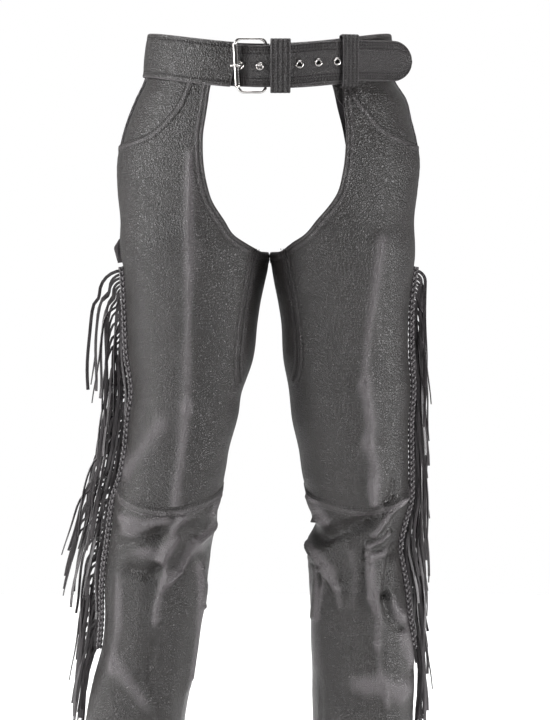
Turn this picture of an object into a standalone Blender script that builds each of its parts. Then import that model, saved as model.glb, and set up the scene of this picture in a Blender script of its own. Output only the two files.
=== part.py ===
"""Leather chaps with a buckled belt, plaited side trim and long fringe.

The garment keeps its worn, hollow form. Sizes are in millimetres until the mesh is made.
The origin is the middle of the waist, level with the middle of the waistband at the sides.
+Z is up and the front faces -Y, so the wearer's right leg is on -X.
"""
import bmesh
import bpy
import numpy as np
from math import cos, pi, radians, sin

# Driving sizes, in millimetres
MM = 0.001
LEATHER = 1.6            # wall of one layer of leather
GAP = 0.3                # free space between pieces that meet
BAND_HEIGHT = 58.0
BAND_WALL = 3.0          # the waistband is two layers sewn together
STRAP_HEIGHT = 54.0
STRAP_WALL = 2.5
KNEE_Z = -594.0          # knee seam at the outer side
HEM_Z = -1004.0
FRINGE_TOP = -287.0
FRINGE_BOTTOM = -806.0
STRANDS = 72             # a leg
STRAND_WIDTH = 3.4
STRAND_WALL = 1.2
LANES = 6                # strands hang in this many layers from front to back
TRIM_OFF = 1.2           # free space under the trim, which bridges the curve of the leg
SQUARENESS = 2.25        # exponent of the rings: 2 is an ellipse

# Rings of each leg: height, outer and inner side, depth of the front and of the back.
# Above the crotch the inner side lies past the middle, so the front and back meet the waist.
RIGHT_RINGS = np.array([
    # z, outer, inner, front, back
    (45, 159, -158, 121, 112),
    (0, 165, -165, 124, 116),
    (-30, 169, -167, 125, 118),
    (-58, 182, -168, 126, 122),
    (-85, 193, -165, 127, 126),
    (-112, 201, -155, 127, 128),
    (-140, 206, -138, 126, 129),
    (-180, 206, -98, 122, 127),
    (-222, 202, -43, 117, 122),
    (-255, 203, 1.2, 113, 115),
    (-270, 201.5, 0.8, 111, 113),
    (-287, 198, 2.2, 109, 110),
    (-305, 196.5, 6.2, 106.5, 106),
    (-330, 195.2, 12, 103, 102),
    (-357, 194, 16, 99, 98),
    (-412, 191.5, 23, 92, 91),
    (-440, 187, 32, 89, 88),
    (-458, 186, 38, 87, 86),
    (-485, 190.5, 42, 84, 83),
    (-538, 195.5, 55, 79, 80),
    (-566, 200.5, 60, 78, 79),
    (-602, 212, 67, 76, 78),
    (-634, 217, 74, 74, 80),
    (-662, 221, 79, 73, 82),
    (-718, 228, 86, 72, 84),
    (-775, 229, 95, 71, 83),
    (-809, 232.5, 99, 71, 81),
    (-854, 244, 106, 72, 78),
    (-908, 254, 116, 74, 76),
    (-1004, 262, 124, 76, 76)], float)
LEFT_RINGS = np.array([
    # z, outer, inner, front, back
    (45, 159, -158, 121, 112),
    (0, 165, -165, 124, 116),
    (-30, 169, -167, 125, 118),
    (-58, 186, -168, 126, 122),
    (-85, 193, -165, 127, 126),
    (-112, 200, -155, 127, 128),
    (-140, 204, -138, 126, 129),
    (-180, 201, -98, 122, 127),
    (-222, 196, -43, 117, 122),
    (-255, 197.5, 1.2, 113, 115),
    (-270, 197.5, 0.8, 111, 113),
    (-287, 195.5, 3.2, 109, 110),
    (-305, 193, 6.2, 106.5, 106),
    (-330, 190.8, 11, 103, 102),
    (-357, 190, 15, 99, 98),
    (-412, 191, 19, 92, 91),
    (-448, 194, 26, 88, 87),
    (-495, 191, 32, 83, 82),
    (-538, 191, 41, 79, 80),
    (-578, 191.5, 47, 77, 78),
    (-606, 191, 55, 76, 78),
    (-622, 187, 62, 75, 79),
    (-634, 183.5, 65, 74, 80),
    (-648, 180, 60, 73.5, 81),
    (-662, 177.5, 53, 73, 82),
    (-676, 176.5, 51.5, 72.5, 82.5),
    (-690, 179.5, 53, 72, 83),
    (-725, 185.5, 55, 72, 84),
    (-767, 190, 56, 71, 83),
    (-809, 196.5, 57, 71, 81),
    (-849, 200, 59, 72, 78),
    (-908, 199, 61, 74, 76),
    (-1004, 201, 64, 76, 76)], float)

# Edges on the front and back: distance from the middle and height
RIGHT_FRONT_EDGE = [(72, -20), (75, -40), (81, -75), (86, -106), (86, -139), (81, -171), (75, -191),
                    (59, -217), (41, -242), (29, -250), (17, -257)]
LEFT_FRONT_EDGE = [(90, -20), (93, -45), (98.5, -83), (99.5, -124), (96, -154), (86.5, -186), (79, -197),
                   (62, -217), (44, -238), (30, -248), (19, -257)]
SEAT_EDGE = [(84, -20), (94, -60), (104, -100), (110, -140), (110, -180), (102, -212), (82, -240),
             (54, -260), (26, -272), (6, -280)]
# Seam between the front and the inner thigh panel, down to the inseam
RIGHT_INNER_SEAM = [(17, -257), (25, -294), (31, -325), (38, -372), (41.5, -409), (40, -436)]
LEFT_INNER_SEAM = [(19, -257), (23, -288), (30, -318), (34, -349), (37, -387), (36, -420), (32, -436)]
# Slanted pocket mouth, from under the waistband to the side seam
RIGHT_POCKET = [(104, -20), (107, -33), (129, -75), (146, -93), (162, -105), (198, -118), (206, -121)]
LEFT_POCKET = [(104, -20), (108, -44), (130, -72), (146, -92), (162, -103), (190, -116), (203, -121)]

# Soft folds: the points that one runs through (distance from the middle, height), its height and width
RIGHT_FOLDS = [
    # x1, z1, x2, z2, x3, z3, height, width
    (103, -130, 107, -350, 110, -470, 2.2, 9),
    (110, -465, 117, -525, 127, -600, 3.0, 9),
    (146, -490, 170, -525, 196, -560, 3.0, 12),
    (118, -618, 129, -634, 141, -664, 4.5, 8),
    (72, -631, 84, -645, 96, -658, 4.0, 9),
    (127, -650, 145, -676, 139, -702, 4.5, 9),
    (103, -658, 117, -680, 137, -706, 3.5, 8),
    (190, -640, 170, -662, 150, -672, 4.0, 14),
    (139, -700, 148, -722, 152, -756, 3.5, 10),
    (94, -690, 92, -750, 108, -862, 3.5, 8),
    (208, -822, 173, -866, 157, -884, 4.0, 12)]
LEFT_FOLDS = [
    # x1, z1, x2, z2, x3, z3, height, width
    (147, -241, 130, -380, 126, -440, 2.5, 9),
    (126, -435, 136, -490, 131, -516, 4.0, 8),
    (131, -514, 141, -546, 141, -600, 4.0, 8),
    (52, -600, 66, -624, 84, -636, 5.0, 9),
    (71, -628, 52, -660, 79, -692, 5.0, 9),
    (79, -690, 92, -716, 96, -740, 3.5, 9),
    (130, -660, 139, -690, 140, -730, 4.0, 8),
    (140, -728, 148, -752, 146, -792, 4.0, 8),
    (166, -680, 158, -720, 176, -762, 4.5, 9),
    (176, -760, 187, -792, 196, -824, 4.0, 10),
    (120, -846, 152, -848, 180, -862, 5.0, 18),
    (66, -720, 62, -770, 66, -830, 3.0, 9)]
BACK_FOLDS = [
    # x1, z1, x2, z2, x3, z3, height, width
    (90, -572, 125, -584, 170, -576, 3.5, 14),
    (90, -612, 130, -626, 180, -616, 4.5, 13),
    (100, -650, 140, -662, 185, -654, 4.0, 14),
    (120, -700, 140, -760, 135, -820, 3.0, 14)]

# Strap of the belt: distance along X, height of its inner face off the leather and its middle height
STRAP_COURSE = np.array([
    # x, off, z
    (-70, -2.9, -14),
    (-57, -2.9, -15),
    (-51, -3.1, -15.5),
    (-46.5, -3.0, -16),
    (-41.5, -1.0, -16.5),
    (-36, 1.6, -17),
    (-28, 4.2, -17.5),
    (-20, 5.3, -18),
    (-5, 5.9, -18),
    (8, 5.8, -17.5),
    (22, 4.8, -17),
    (39, 3.7, -15.5),
    (63, 3.7, -13),
    (85, 3.7, -11.5),
    (102, 3.7, -10.5),
    (118, 3.7, -10)], float)
STRAP_TAIL = 80.5         # past the second keeper the end of the strap stands off straight
STRAP_POINT = 30.0
EYELET_X = (-36.2, -11.8, 13.0, 38.5, 62.5, 86.0, 109.5)    # an inch apart round the waist
EYELET_OUTER = 5.2
EYELET_HOLE = 2.7
EYELET_BARREL = 3.4
EYELET_LIFT = 0.6         # the flat flange bridges the curve of the strap
STRAP_HOLE = 3.8

# Buckle
BAR_X = -41.5             # bar that the prong rests on
PIVOT_X = -4.0            # bar that the prong turns on
BUCKLE_Z = -16.5
BUCKLE_HALF_HEIGHT = 34.5
BUCKLE_CORNER = 9.0
BAR_OFF = 7.8
PIVOT_OFF = 0.2
WIRE = 1.9                # radius of the frame's wire
ROLLER = 3.6              # radius of the sleeve on the bar
PRONG = 1.25              # radius of the prong


def smooth(t):
    """Smooth step from 0 at t = 0 to 1 at t = 1."""
    t = np.clip(t, 0.0, 1.0)
    return t * t * (3.0 - 2.0 * t)


def curve_through(points, columns, at):
    """Cubic curve through table rows, read at heights or places, with mean slopes at the rows."""
    order = np.argsort(points[:, 0])
    x, y = points[order, 0], points[order][:, columns]
    slope = np.gradient(y, x, axis=0)
    i = np.clip(np.searchsorted(x, at) - 1, 0, len(x) - 2)
    step = (x[i + 1] - x[i])[..., None]
    t = np.clip((at - x[i])[..., None] / step, 0.0, 1.0)
    return ((2 * t ** 3 - 3 * t ** 2 + 1) * y[i] + (t ** 3 - 2 * t ** 2 + t) * step * slope[i]
            + (3 * t ** 2 - 2 * t ** 3) * y[i + 1] + (t ** 3 - t ** 2) * step * slope[i + 1])


class Leg:
    """One leg's outer surface. Angle 0 is the outer side, 90 the front, 180 the inner side."""

    def __init__(self, side, rings, folds):
        self.side = side              # -1 is the wearer's right, +1 the left
        self.rings = rings
        self.folds = folds

    def fold_height(self, x, z, front):
        """Sum of soft ridges. Each falls off as a bell across its line and fades at its ends."""
        total = np.zeros_like(x)
        for table, weight in ((self.folds, np.clip(front, 0, 1)), (BACK_FOLDS, np.clip(-front, 0, 1))):
            for x1, z1, x2, z2, x3, z3, height, width in table:
                ends = []
                for xa, za, xb, zb in ((x1, z1, x2, z2), (x2, z2, x3, z3)):
                    length = (xb - xa) ** 2 + (zb - za) ** 2
                    along = np.clip(((x - xa) * (xb - xa) + (z - za) * (zb - za)) / length, 0, 1)
                    ends.append(np.hypot(x - xa - along * (xb - xa), z - za - along * (zb - za)))
                near = np.minimum(ends[0], ends[1])
                total += weight * height * np.exp(-(near / width) ** 2)
        return total

    def plain(self, angle, z):
        """Point of the ring at this height: a squared ellipse with its own depth at front and back."""
        outer, inner, front, back = np.moveaxis(curve_through(self.rings, [1, 2, 3, 4], z), -1, 0)
        c, s = np.cos(np.radians(angle)), np.sin(np.radians(angle))
        reach = (np.abs(c) ** SQUARENESS + np.abs(s) ** SQUARENESS) ** (-1.0 / SQUARENESS)
        x = (outer + inner) / 2 + (outer - inner) / 2 * c * reach
        y = -np.where(s > 0, front, back) * s * reach
        return np.stack([x, y, z], -1)

    def normal(self, angle, z, folded=False):
        """Outward normal from the slopes along and across."""
        read = self.folded if folded else self.plain
        along = read(angle + 0.5, z) - read(angle - 0.5, z)
        down = read(angle, z + 0.5) - read(angle, z - 0.5)
        n = np.cross(down, along)
        return n / np.linalg.norm(n, axis=-1, keepdims=True)

    def folded(self, angle, z):
        """Ring point lifted by the folds."""
        p = self.plain(angle, z)
        n = self.normal(angle, z)
        facing = smooth(np.abs(np.sin(np.radians(angle))) / 0.45) * np.sign(np.sin(np.radians(angle)))
        return p + n * self.fold_height(p[..., 0], p[..., 2], facing)[..., None]

    def at(self, angle, z, off=0.0):
        """Point this far off the outer face, on the leg's own side of the garment."""
        angle, z, off = np.broadcast_arrays(np.asarray(angle, float), np.asarray(z, float), off)
        p = self.folded(angle, z) + self.normal(angle, z, True) * off[..., None]
        return p * np.array([self.side, 1.0, 1.0])

    def angle_of(self, x, z, front=True):
        """Angle on the front or back whose distance from the middle is x."""
        fan = np.linspace(0.0, 180.0, 361)
        out = []
        for px, pz in zip(np.atleast_1d(x), np.atleast_1d(z)):
            xs = self.plain(fan if front else -fan, np.full_like(fan, pz))[:, 0]
            out.append(np.interp(-px, -xs, fan))
        return np.array(out) * (1 if front else -1)


RIGHT = Leg(-1, RIGHT_RINGS, RIGHT_FOLDS)
LEFT = Leg(1, LEFT_RINGS, LEFT_FOLDS)


def band_middle(angle):
    """The waistband dips at the front, and less so at the back."""
    s = np.sin(np.radians(angle))
    return np.where(s > 0, -17.0 * s ** 3, -6.0 * s ** 4)


def seam_shift(angle, z):
    """Rows near the waist and the knee follow the dip of the waistband and of the knee seam."""
    s = np.sin(np.radians(angle))
    knee = np.where(s > 0, -22.0, -8.0) * np.abs(s) ** 1.5
    return (band_middle(angle) * np.clip(1.0 + z / 120.0, 0, 1)
            + knee * np.clip(1.0 - np.abs(z - KNEE_Z) / 110.0, 0, 1))


# Meshes
COLOURS = {
    "leather": ((0.035, 0.034, 0.037), 0.42, 0.0),
    "fringe_leather": ((0.018, 0.017, 0.019), 0.55, 0.0),
    "chrome": ((0.75, 0.76, 0.78), 0.12, 1.0)}


def material(name):
    """Principled material with the part's colour, roughness and metallic value."""
    made = bpy.data.materials.get(name)
    if made is None:
        made = bpy.data.materials.new(name)
        made.use_nodes = True
        colour, roughness, metallic = COLOURS[name]
        shader = made.node_tree.nodes["Principled BSDF"]
        shader.inputs["Base Color"].default_value = (*colour, 1.0)
        shader.inputs["Roughness"].default_value = roughness
        shader.inputs["Metallic"].default_value = metallic
    return made


def make(name, points, faces, finish, sharp=35.0):
    """One closed mesh object, its faces turned outward and shaded smooth."""
    mesh = bpy.data.meshes.new(name)
    mesh.from_pydata((np.asarray(points, float) * MM).tolist(), [], faces)
    shell = bmesh.new()
    shell.from_mesh(mesh)
    bmesh.ops.recalc_face_normals(shell, faces=shell.faces)
    if shell.calc_volume(signed=True) < 0:
        bmesh.ops.reverse_faces(shell, faces=shell.faces)
    shell.to_mesh(mesh)
    shell.free()
    mesh.materials.append(material(finish))
    mesh.shade_smooth()
    mesh.set_sharp_from_angle(angle=radians(sharp))
    made = bpy.data.objects.new(name, mesh)
    bpy.context.scene.collection.objects.link(made)
    return made


def wall(name, outer, inner, finish):
    """Closed wall between an outer and an inner grid of points with the same rows and columns."""
    rows, columns = outer.shape[:2]
    points = np.concatenate([outer.reshape(-1, 3), inner.reshape(-1, 3)])
    index = np.arange(rows * columns).reshape(rows, columns)
    back = index + rows * columns
    faces = []
    for r in range(rows - 1):
        for c in range(columns - 1):
            faces.append((index[r, c], index[r, c + 1], index[r + 1, c + 1], index[r + 1, c]))
            faces.append((back[r, c], back[r + 1, c], back[r + 1, c + 1], back[r, c + 1]))
    rim = [index[0, c] for c in range(columns)] + [index[r, -1] for r in range(1, rows)]
    rim += [index[-1, c] for c in range(columns - 2, -1, -1)]
    rim += [index[r, 0] for r in range(rows - 2, 0, -1)]
    shift = rows * columns
    for a, b in zip(rim, rim[1:] + rim[:1]):
        faces.append((b, a, a + shift, b + shift))
    return make(name, points, [tuple(int(i) for i in f) for f in faces], finish)


def panel(name, leg, rows, start, end, columns, off=0.0, thick=LEATHER):
    """Leather panel: rows of height, each from its start angle to its end angle."""
    rows = np.asarray(rows, float)
    start, end = np.asarray(start, float), np.asarray(end, float)
    u = np.linspace(0.0, 1.0, columns + 1)
    angle = start[:, None] + (end - start)[:, None] * u
    z = rows[:, None] + seam_shift(angle, rows[:, None])
    return wall(name, leg.at(angle, z, off), leg.at(angle, z, off - thick), "leather")


def tube(name, path, radius, finish, sides=8, closed=False, flat=(0.0, 0.0, 1.0)):
    """Round wire along a path of points. A closed path makes a ring, an open one has flat ends."""
    path = np.asarray(path, float)
    n = len(path)
    radius = np.broadcast_to(radius, n).astype(float)
    before, after = np.roll(path, 1, 0), np.roll(path, -1, 0)
    if not closed:
        before[0], after[-1] = path[0], path[-1]
    along = after - before
    along /= np.linalg.norm(along, axis=1, keepdims=True)
    side = np.cross(along, np.asarray(flat, float))
    side /= np.linalg.norm(side, axis=1, keepdims=True)
    other = np.cross(along, side)
    turn = np.arange(sides) * 2 * pi / sides + pi / sides
    points = (path[:, None] + radius[:, None, None] * (np.cos(turn)[None, :, None] * side[:, None]
                                                       + np.sin(turn)[None, :, None] * other[:, None])).reshape(-1, 3)
    faces = []
    for i in range(n if closed else n - 1):
        j = (i + 1) % n
        for k in range(sides):
            m = (k + 1) % sides
            faces.append((i * sides + k, j * sides + k, j * sides + m, i * sides + m))
    if not closed:
        faces.append(tuple(range(sides)))
        faces.append(tuple(range(n * sides - 1, (n - 1) * sides - 1, -1)))
    return make(name, points, faces, finish)


# Leg panels
def leg_pieces(leg, word, front_edge, inner_seam, pocket):
    """All panels of one leg, the trim on its outer side and its fringe."""
    side_gap = 0.12       # degrees, half of the free space along a seam
    front_edge, inner_seam, pocket = (np.array(t, float) for t in (front_edge, inner_seam, pocket))
    seat = np.array(SEAT_EDGE, float)

    def edge_angle(table, z, front=True):
        x = np.interp(-z, -table[:, 1], table[:, 0])
        return leg.angle_of(x, z, front)

    def inner_seam_angle(z):
        """The seam of the inner thigh panel, which turns in to the inseam at its foot."""
        foot, point = -436.0, -448.0
        along = edge_angle(inner_seam, np.maximum(z, foot))
        return along + (180.0 - along) * np.clip((foot - z) / (foot - point), 0, 1)

    # Front of the thigh, from the pocket mouth and the side seam to the front edge and the inner seam
    rows = np.array([-20, -30, -44, -58, -72, -86, -96, -104, -110, -114, -118, -121, -140, -162, -184,
                     -205, -222, -236, -247, -257, -275, -302, -332, -364, -396, -420, -436, -448, -472,
                     -500, -528, -556, -578, KNEE_Z + GAP / 2], float)
    left = np.where(rows >= -121, edge_angle(pocket, rows), side_gap)
    right = np.where(rows >= -257, edge_angle(front_edge, rows),
                     np.minimum(inner_seam_angle(rows), 180) - side_gap)
    panel("front_thigh_" + word, leg, rows, np.maximum(left, side_gap), right, 10)

    # Inner thigh panel, a leaf between the front and the inseam
    rows = np.array([-257, -275, -302, -332, -364, -396, -420, -436, -444], float)
    panel("inner_thigh_panel_" + word, leg, rows, inner_seam_angle(rows) + side_gap,
          np.full(len(rows), 180 - side_gap), 3)

    # Back of the thigh, open at the seat
    rows = np.array([-20, -30, -44, -60, -82, -108, -140, -180, -212, -240, -260, -272, -280, -300, -332,
                     -364, -396, -425, -445, -460, -480, -510, -540, -570, KNEE_Z + GAP / 2], float)
    end = np.where(rows >= -280, edge_angle(seat, rows, False), -180 + side_gap)
    panel("back_thigh_" + word, leg, rows, np.full(len(rows), -side_gap), end, 8)

    # Calf, front and back
    rows = np.array([KNEE_Z - GAP / 2, -606, -618, -630, -642, -654, -666, -680, -695, -712, -732, -755, -780,
                     -808, -836, -860, -895, -945, HEM_Z], float)
    along = np.ones(len(rows))
    panel("front_calf_" + word, leg, rows, side_gap * along, (180 - side_gap) * along, 10)
    rows = np.array([KNEE_Z - GAP / 2, -606, -618, -632, -645, -655, -665, -678, -695, -725, -770, -820,
                     -880, -940, HEM_Z], float)
    along = np.ones(len(rows))
    panel("back_calf_" + word, leg, rows, -side_gap * along, (side_gap - 180) * along, 8)

    # Pocket backing, one layer further in, which shows above the pocket mouth
    rows = np.array([-20, -30, -44, -58, -72, -86, -96, -104, -110, -116, -124, -134], float)
    past_mouth = 9.0      # degrees that it runs on behind the front
    end = np.where(rows >= -121, edge_angle(pocket, np.maximum(rows, -118)) + past_mouth, 14.0)
    panel("pocket_backing_" + word, leg, rows, np.full(len(rows), side_gap), end, 10,
          off=-LEATHER - 2.6, thick=1.2)

    side_trim(leg, word)
    fringe(leg, word)


def outer_side(leg, z):
    """Distance of the leg's outer side from the middle."""
    return curve_through(leg.rings, [1], np.asarray(z, float))[..., 0]


def side_trim(leg, word):
    """Plaited trim down the outer seam: a low rounded band just in front of the fringe."""
    z = np.linspace(FRINGE_TOP + 3, FRINGE_BOTTOM - 6, 31)
    y = np.array([-11.6, -7.0, -2.4])
    lift = np.array([2.6, 5.0, 2.6])
    x = outer_side(leg, z)[:, None]
    outer = np.stack(np.broadcast_arrays(leg.side * (x + TRIM_OFF + lift), y, z[:, None]), -1)
    inner = np.stack(np.broadcast_arrays(leg.side * (x + TRIM_OFF + 0 * lift), y, z[:, None]), -1)
    wall("braid_trim_" + word, outer, inner, "fringe_leather")


# Fringe
def uneven(i, seed):
    """Even spread of values from -1 to 1 that follows no visible order."""
    return 2.0 * ((sin(i * 12.9898 + seed * 78.233) * 43758.5453) % 1.0) - 1.0


def hang_clear(spots, leg, below):
    """Move a strand's lower points out until it clears the leg and the strand below in its layer."""
    beside = STRAND_WIDTH + 1.1
    for k in (1, 2):
        (x1, z1), (x2, z2) = spots[k], spots[k + 1]
        heights = np.linspace(z1, z2, 15)
        need = outer_side(leg, heights) + STRAND_WIDTH / 2 + 3.0
        if below is not None:
            px, pz = np.array(below[1:])[::-1].T
            reach = np.interp(heights, pz, px + beside)
            need = np.where(heights <= pz[-1] + 4.0, np.maximum(need, reach), need)
        short = max(0.0, float((need - np.interp(heights, [z2, z1], [x2, x1])).max()))
        spots[k][0] += short
        spots[k + 1][0] += short


def fringe(leg, word):
    """Strands cut from one strip. Each leaves it sideways, bends down and hangs.

    Strands side by side hang in layers from front to back. In a layer they are hung from the
    lowest up, each clear of the leg and of the one before, which it lies outside.
    """
    pitch = (FRINGE_TOP - FRINGE_BOTTOM) / STRANDS
    front_y, back_y = -0.6, 2.6
    middle_y = (front_y + back_y) / 2
    face = TRIM_OFF + LEATHER    # distance of the strip's outer face from the leg
    lines = []            # heights of the lines across the strip
    for i in range(STRANDS):
        root = FRINGE_TOP - pitch * (i + 0.5)
        lines += [root + STRAND_WIDTH / 2, root - STRAND_WIDTH / 2]
    lines = np.array([FRINGE_TOP] + lines + [FRINGE_BOTTOM])
    x = outer_side(leg, lines)
    points = [(leg.side * (a + face), y, z) for a, z in zip(x, lines) for y in (front_y, back_y)]
    faces = []
    count = len(lines)
    inner_lines = list(range(0, count, 4))
    if inner_lines[-1] != count - 1:
        inner_lines.append(count - 1)
    base = len(points)
    points += [(leg.side * (x[k] + TRIM_OFF), y, lines[k]) for k in inner_lines for y in (front_y, back_y)]

    for r in range(count - 1):
        if r % 2 == 0:    # the rows between the roots
            faces.append((2 * r, 2 * r + 1, 2 * r + 3, 2 * r + 2))
    for side in (0, 1):   # the strip's front and back edge, as fans to its few inner points
        for q, (a, b) in enumerate(zip(inner_lines, inner_lines[1:])):
            pa, pb = base + 2 * q + side, base + 2 * q + 2 + side
            middle = (a + b) // 2
            tris = [(2 * k + side, 2 * k + 2 + side, pa if k < middle else pb) for k in range(a, b)]
            tris.append((pa, 2 * middle + side, pb))
            faces += [t if side else t[::-1] for t in tris]
    for q in range(len(inner_lines) - 1):
        k = base + 2 * q
        faces.append((k + 1, k, k + 2, k + 3))
    faces.append((1, 0, base, base + 1))
    last = base + 2 * (len(inner_lines) - 1)
    faces.append((2 * count - 2, 2 * count - 1, last + 1, last))

    # Stations of a strand below its root: distance out, drop, layer pitch
    stations = [(9.0, 5.0, 1.75), (21.0, 70.0, 3.0), (37.0, 150.0, 4.2)]
    if leg is LEFT:       # it hangs closer on this side
        stations = [(8.0, 5.0, 1.75), (15.0, 70.0, 3.0), (22.0, 150.0, 4.2)]
    layers = {}           # the strand hung last in each layer
    for i in reversed(range(STRANDS)):
        r = 2 * i + 1
        root_z = (lines[r] + lines[r + 1]) / 2
        ring = [2 * r, 2 * r + 1, 2 * r + 3, 2 * r + 2]      # top front, top back, low back, low front
        layer_number = i * 5 % LANES
        lane = layer_number - (LANES - 1) / 2
        wide = 1.0 + 0.45 * max(0.0, 1.0 - i / 9.0)           # the first strands swing out furthest
        spots = [[outer_side(leg, root_z) + face, root_z]]
        for out, drop, _ in stations:
            fall = drop * (1.0 + 0.05 * uneven(i, 2)) if drop > 100 else drop
            passed = outer_side(leg, np.linspace(root_z, root_z - fall, 12)).max()
            spots.append([passed + face + out * wide, root_z - fall])
        hang_clear(spots, leg, layers.get(layer_number))
        layers[layer_number] = spots
        for k, (out, drop, layer) in enumerate(stations):
            here = np.array(spots[k + 1])
            ahead = np.array(spots[min(k + 2, len(spots) - 1)]) - np.array(spots[k])
            ahead /= np.hypot(*ahead)
            across = np.array([-ahead[1], ahead[0]]) * STRAND_WIDTH / 2
            y = middle_y + lane * layer + (0.5 * uneven(i, 5) if k == 2 else 0.0)
            new = len(points)
            for sign, dy in ((1, -1), (1, 1), (-1, 1), (-1, -1)):
                px, pz = here + sign * across
                points.append((leg.side * px, y + dy * STRAND_WALL / 2, pz))
            for m in range(4):
                n = (m + 1) % 4
                faces.append((ring[m], ring[n], new + n, new + m))
            ring = [new, new + 1, new + 2, new + 3]
        faces.append(tuple(ring))
    make("fringe_" + word, points, faces, "fringe_leather", sharp=50.0)


# Waistband
def waistband(name, leg, start, end, columns):
    """Two layers of leather round the waist, just outside the panels that it holds."""
    angle = np.linspace(start, end, columns + 1)
    half = BAND_HEIGHT / 2
    z = band_middle(angle)[None] + np.array([half, 0.0, -half])[:, None]
    angle = np.broadcast_to(angle, z.shape)
    wall(name, leg.at(angle, z, GAP + BAND_WALL), leg.at(angle, z, GAP), "leather")


# Belt
def belt_spot(x, off, z=-16.0):
    """Point off the waist's leather at a distance along X on its front."""
    leg = LEFT if x > 0 else RIGHT
    angle = leg.angle_of(abs(x), z)
    height = np.array([float(z)])
    p = leg.plain(angle, height) + leg.normal(angle, height) * off
    return p[0] * np.array([leg.side, 1.0, 1.0])


def belt_course(x):
    """Inner face of the strap and its middle height at a distance along X."""
    off, z = curve_through(STRAP_COURSE, [1, 2], np.array(float(x)))
    return float(off), float(z)


def belt_strap():
    """Strap from under the right end of the waistband to the pointed end, with its row of holes."""
    half = STRAP_HEIGHT / 2
    outer, inner = [], []
    for x in np.concatenate([np.linspace(-69, -57, 2), np.linspace(-50, -28, 7), np.linspace(-22, 15, 7),
                             np.linspace(24, 118, 9)]):
        off, z = belt_course(x)
        for grid, face in ((outer, off + STRAP_WALL), (inner, off)):
            grid.append([belt_spot(x, face, z + half * v) for v in (1.0, 0.0, -1.0)])
    # Past the second keeper the end leaves the waist and runs on straight
    leaves = len(outer) - 1
    ahead = outer[-1][1] - outer[-2][1]
    ahead /= np.linalg.norm(ahead)
    for t in (0.2, 0.4, 0.64, 0.74, 0.84, 0.92, 0.97, 1.0):
        from_point = min(1.0, (1.0 - t) * STRAP_TAIL / STRAP_POINT)
        narrow = max(np.sqrt(1.0 - (1.0 - from_point) ** 2), 0.1)
        for grid in (outer, inner):
            start = grid[leaves]
            step = ahead * STRAP_TAIL * t - np.array([0.0, 0.0, 1.5 * t])
            middle = start[1] + step
            grid.append([middle + (start[v] - start[1]) * narrow for v in (0, 1, 2)])
    strap = wall("belt_strap", np.array(outer), np.array(inner), "leather")

    # Holes for the eyelets
    cutters = []
    for i in range(len(EYELET_X)):
        at, out = eyelet_place(i)
        cutters.append(cylinder(at - out * 6, at + out * 9, STRAP_HOLE, 10))
    points = np.concatenate([c[0] for c in cutters])
    faces = []
    for k, (p, f) in enumerate(cutters):
        faces += [tuple(i + k * len(p) for i in face) for face in f]
    cutter = make("strap_hole_cutter", points, faces, "chrome")
    cutter.hide_render = True
    cutter.display_type = "WIRE"
    cut = strap.modifiers.new("holes", "BOOLEAN")
    cut.operation = "DIFFERENCE"
    cut.solver = "EXACT"
    cut.object = cutter


def eyelet_place(i):
    """Middle of an eyelet on the strap's outer face and the direction out of that face."""
    x = EYELET_X[i]
    off, z = belt_course(x)
    along = belt_spot(x + 2.0, belt_course(x + 2.0)[0], z) - belt_spot(x - 2.0, belt_course(x - 2.0)[0], z)
    half = STRAP_HEIGHT / 2
    up = belt_spot(x, off, z + half) - belt_spot(x, off, z - half)
    out = np.cross(along, up)
    out /= np.linalg.norm(out)
    return belt_spot(x, off, z) + out * STRAP_WALL, out


def cylinder(start, end, radius, sides):
    """Points and faces of a closed cylinder between two points."""
    axis = (end - start) / np.linalg.norm(end - start)
    u = np.array([0.0, 0.0, 1.0])
    v = np.cross(axis, u)
    turn = np.arange(sides) * 2 * pi / sides
    ring = radius * (np.cos(turn)[:, None] * u + np.sin(turn)[:, None] * v)
    points = np.concatenate([start + ring, end + ring])
    faces = [(k, (k + 1) % sides, (k + 1) % sides + sides, k + sides) for k in range(sides)]
    faces += [tuple(range(sides - 1, -1, -1)), tuple(range(sides, 2 * sides))]
    return points, faces


def eyelet(i):
    """Turned ring: a flange on the strap's face and a barrel through the hole."""
    at, out = eyelet_place(i)
    profile = [(EYELET_HOLE, 1.3), (EYELET_OUTER - 0.6, 1.5), (EYELET_OUTER, EYELET_LIFT),
               (EYELET_BARREL, EYELET_LIFT),
               (EYELET_BARREL, -STRAP_WALL), (EYELET_HOLE, -STRAP_WALL)]
    sides = 10
    u = np.array([0.0, 0.0, 1.0])
    v = np.cross(out, u)
    points, faces = [], []
    for k in range(sides):
        turn = 2 * pi * k / sides
        for radius, off in profile:
            points.append(at + out * off + radius * (cos(turn) * u + sin(turn) * v))
    n = len(profile)
    for k in range(sides):
        m = (k + 1) % sides
        for j in range(n):
            faces.append((k * n + j, m * n + j, m * n + (j + 1) % n, k * n + (j + 1) % n))
    make(f"eyelet_{i + 1}", points, faces, "chrome")


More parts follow.
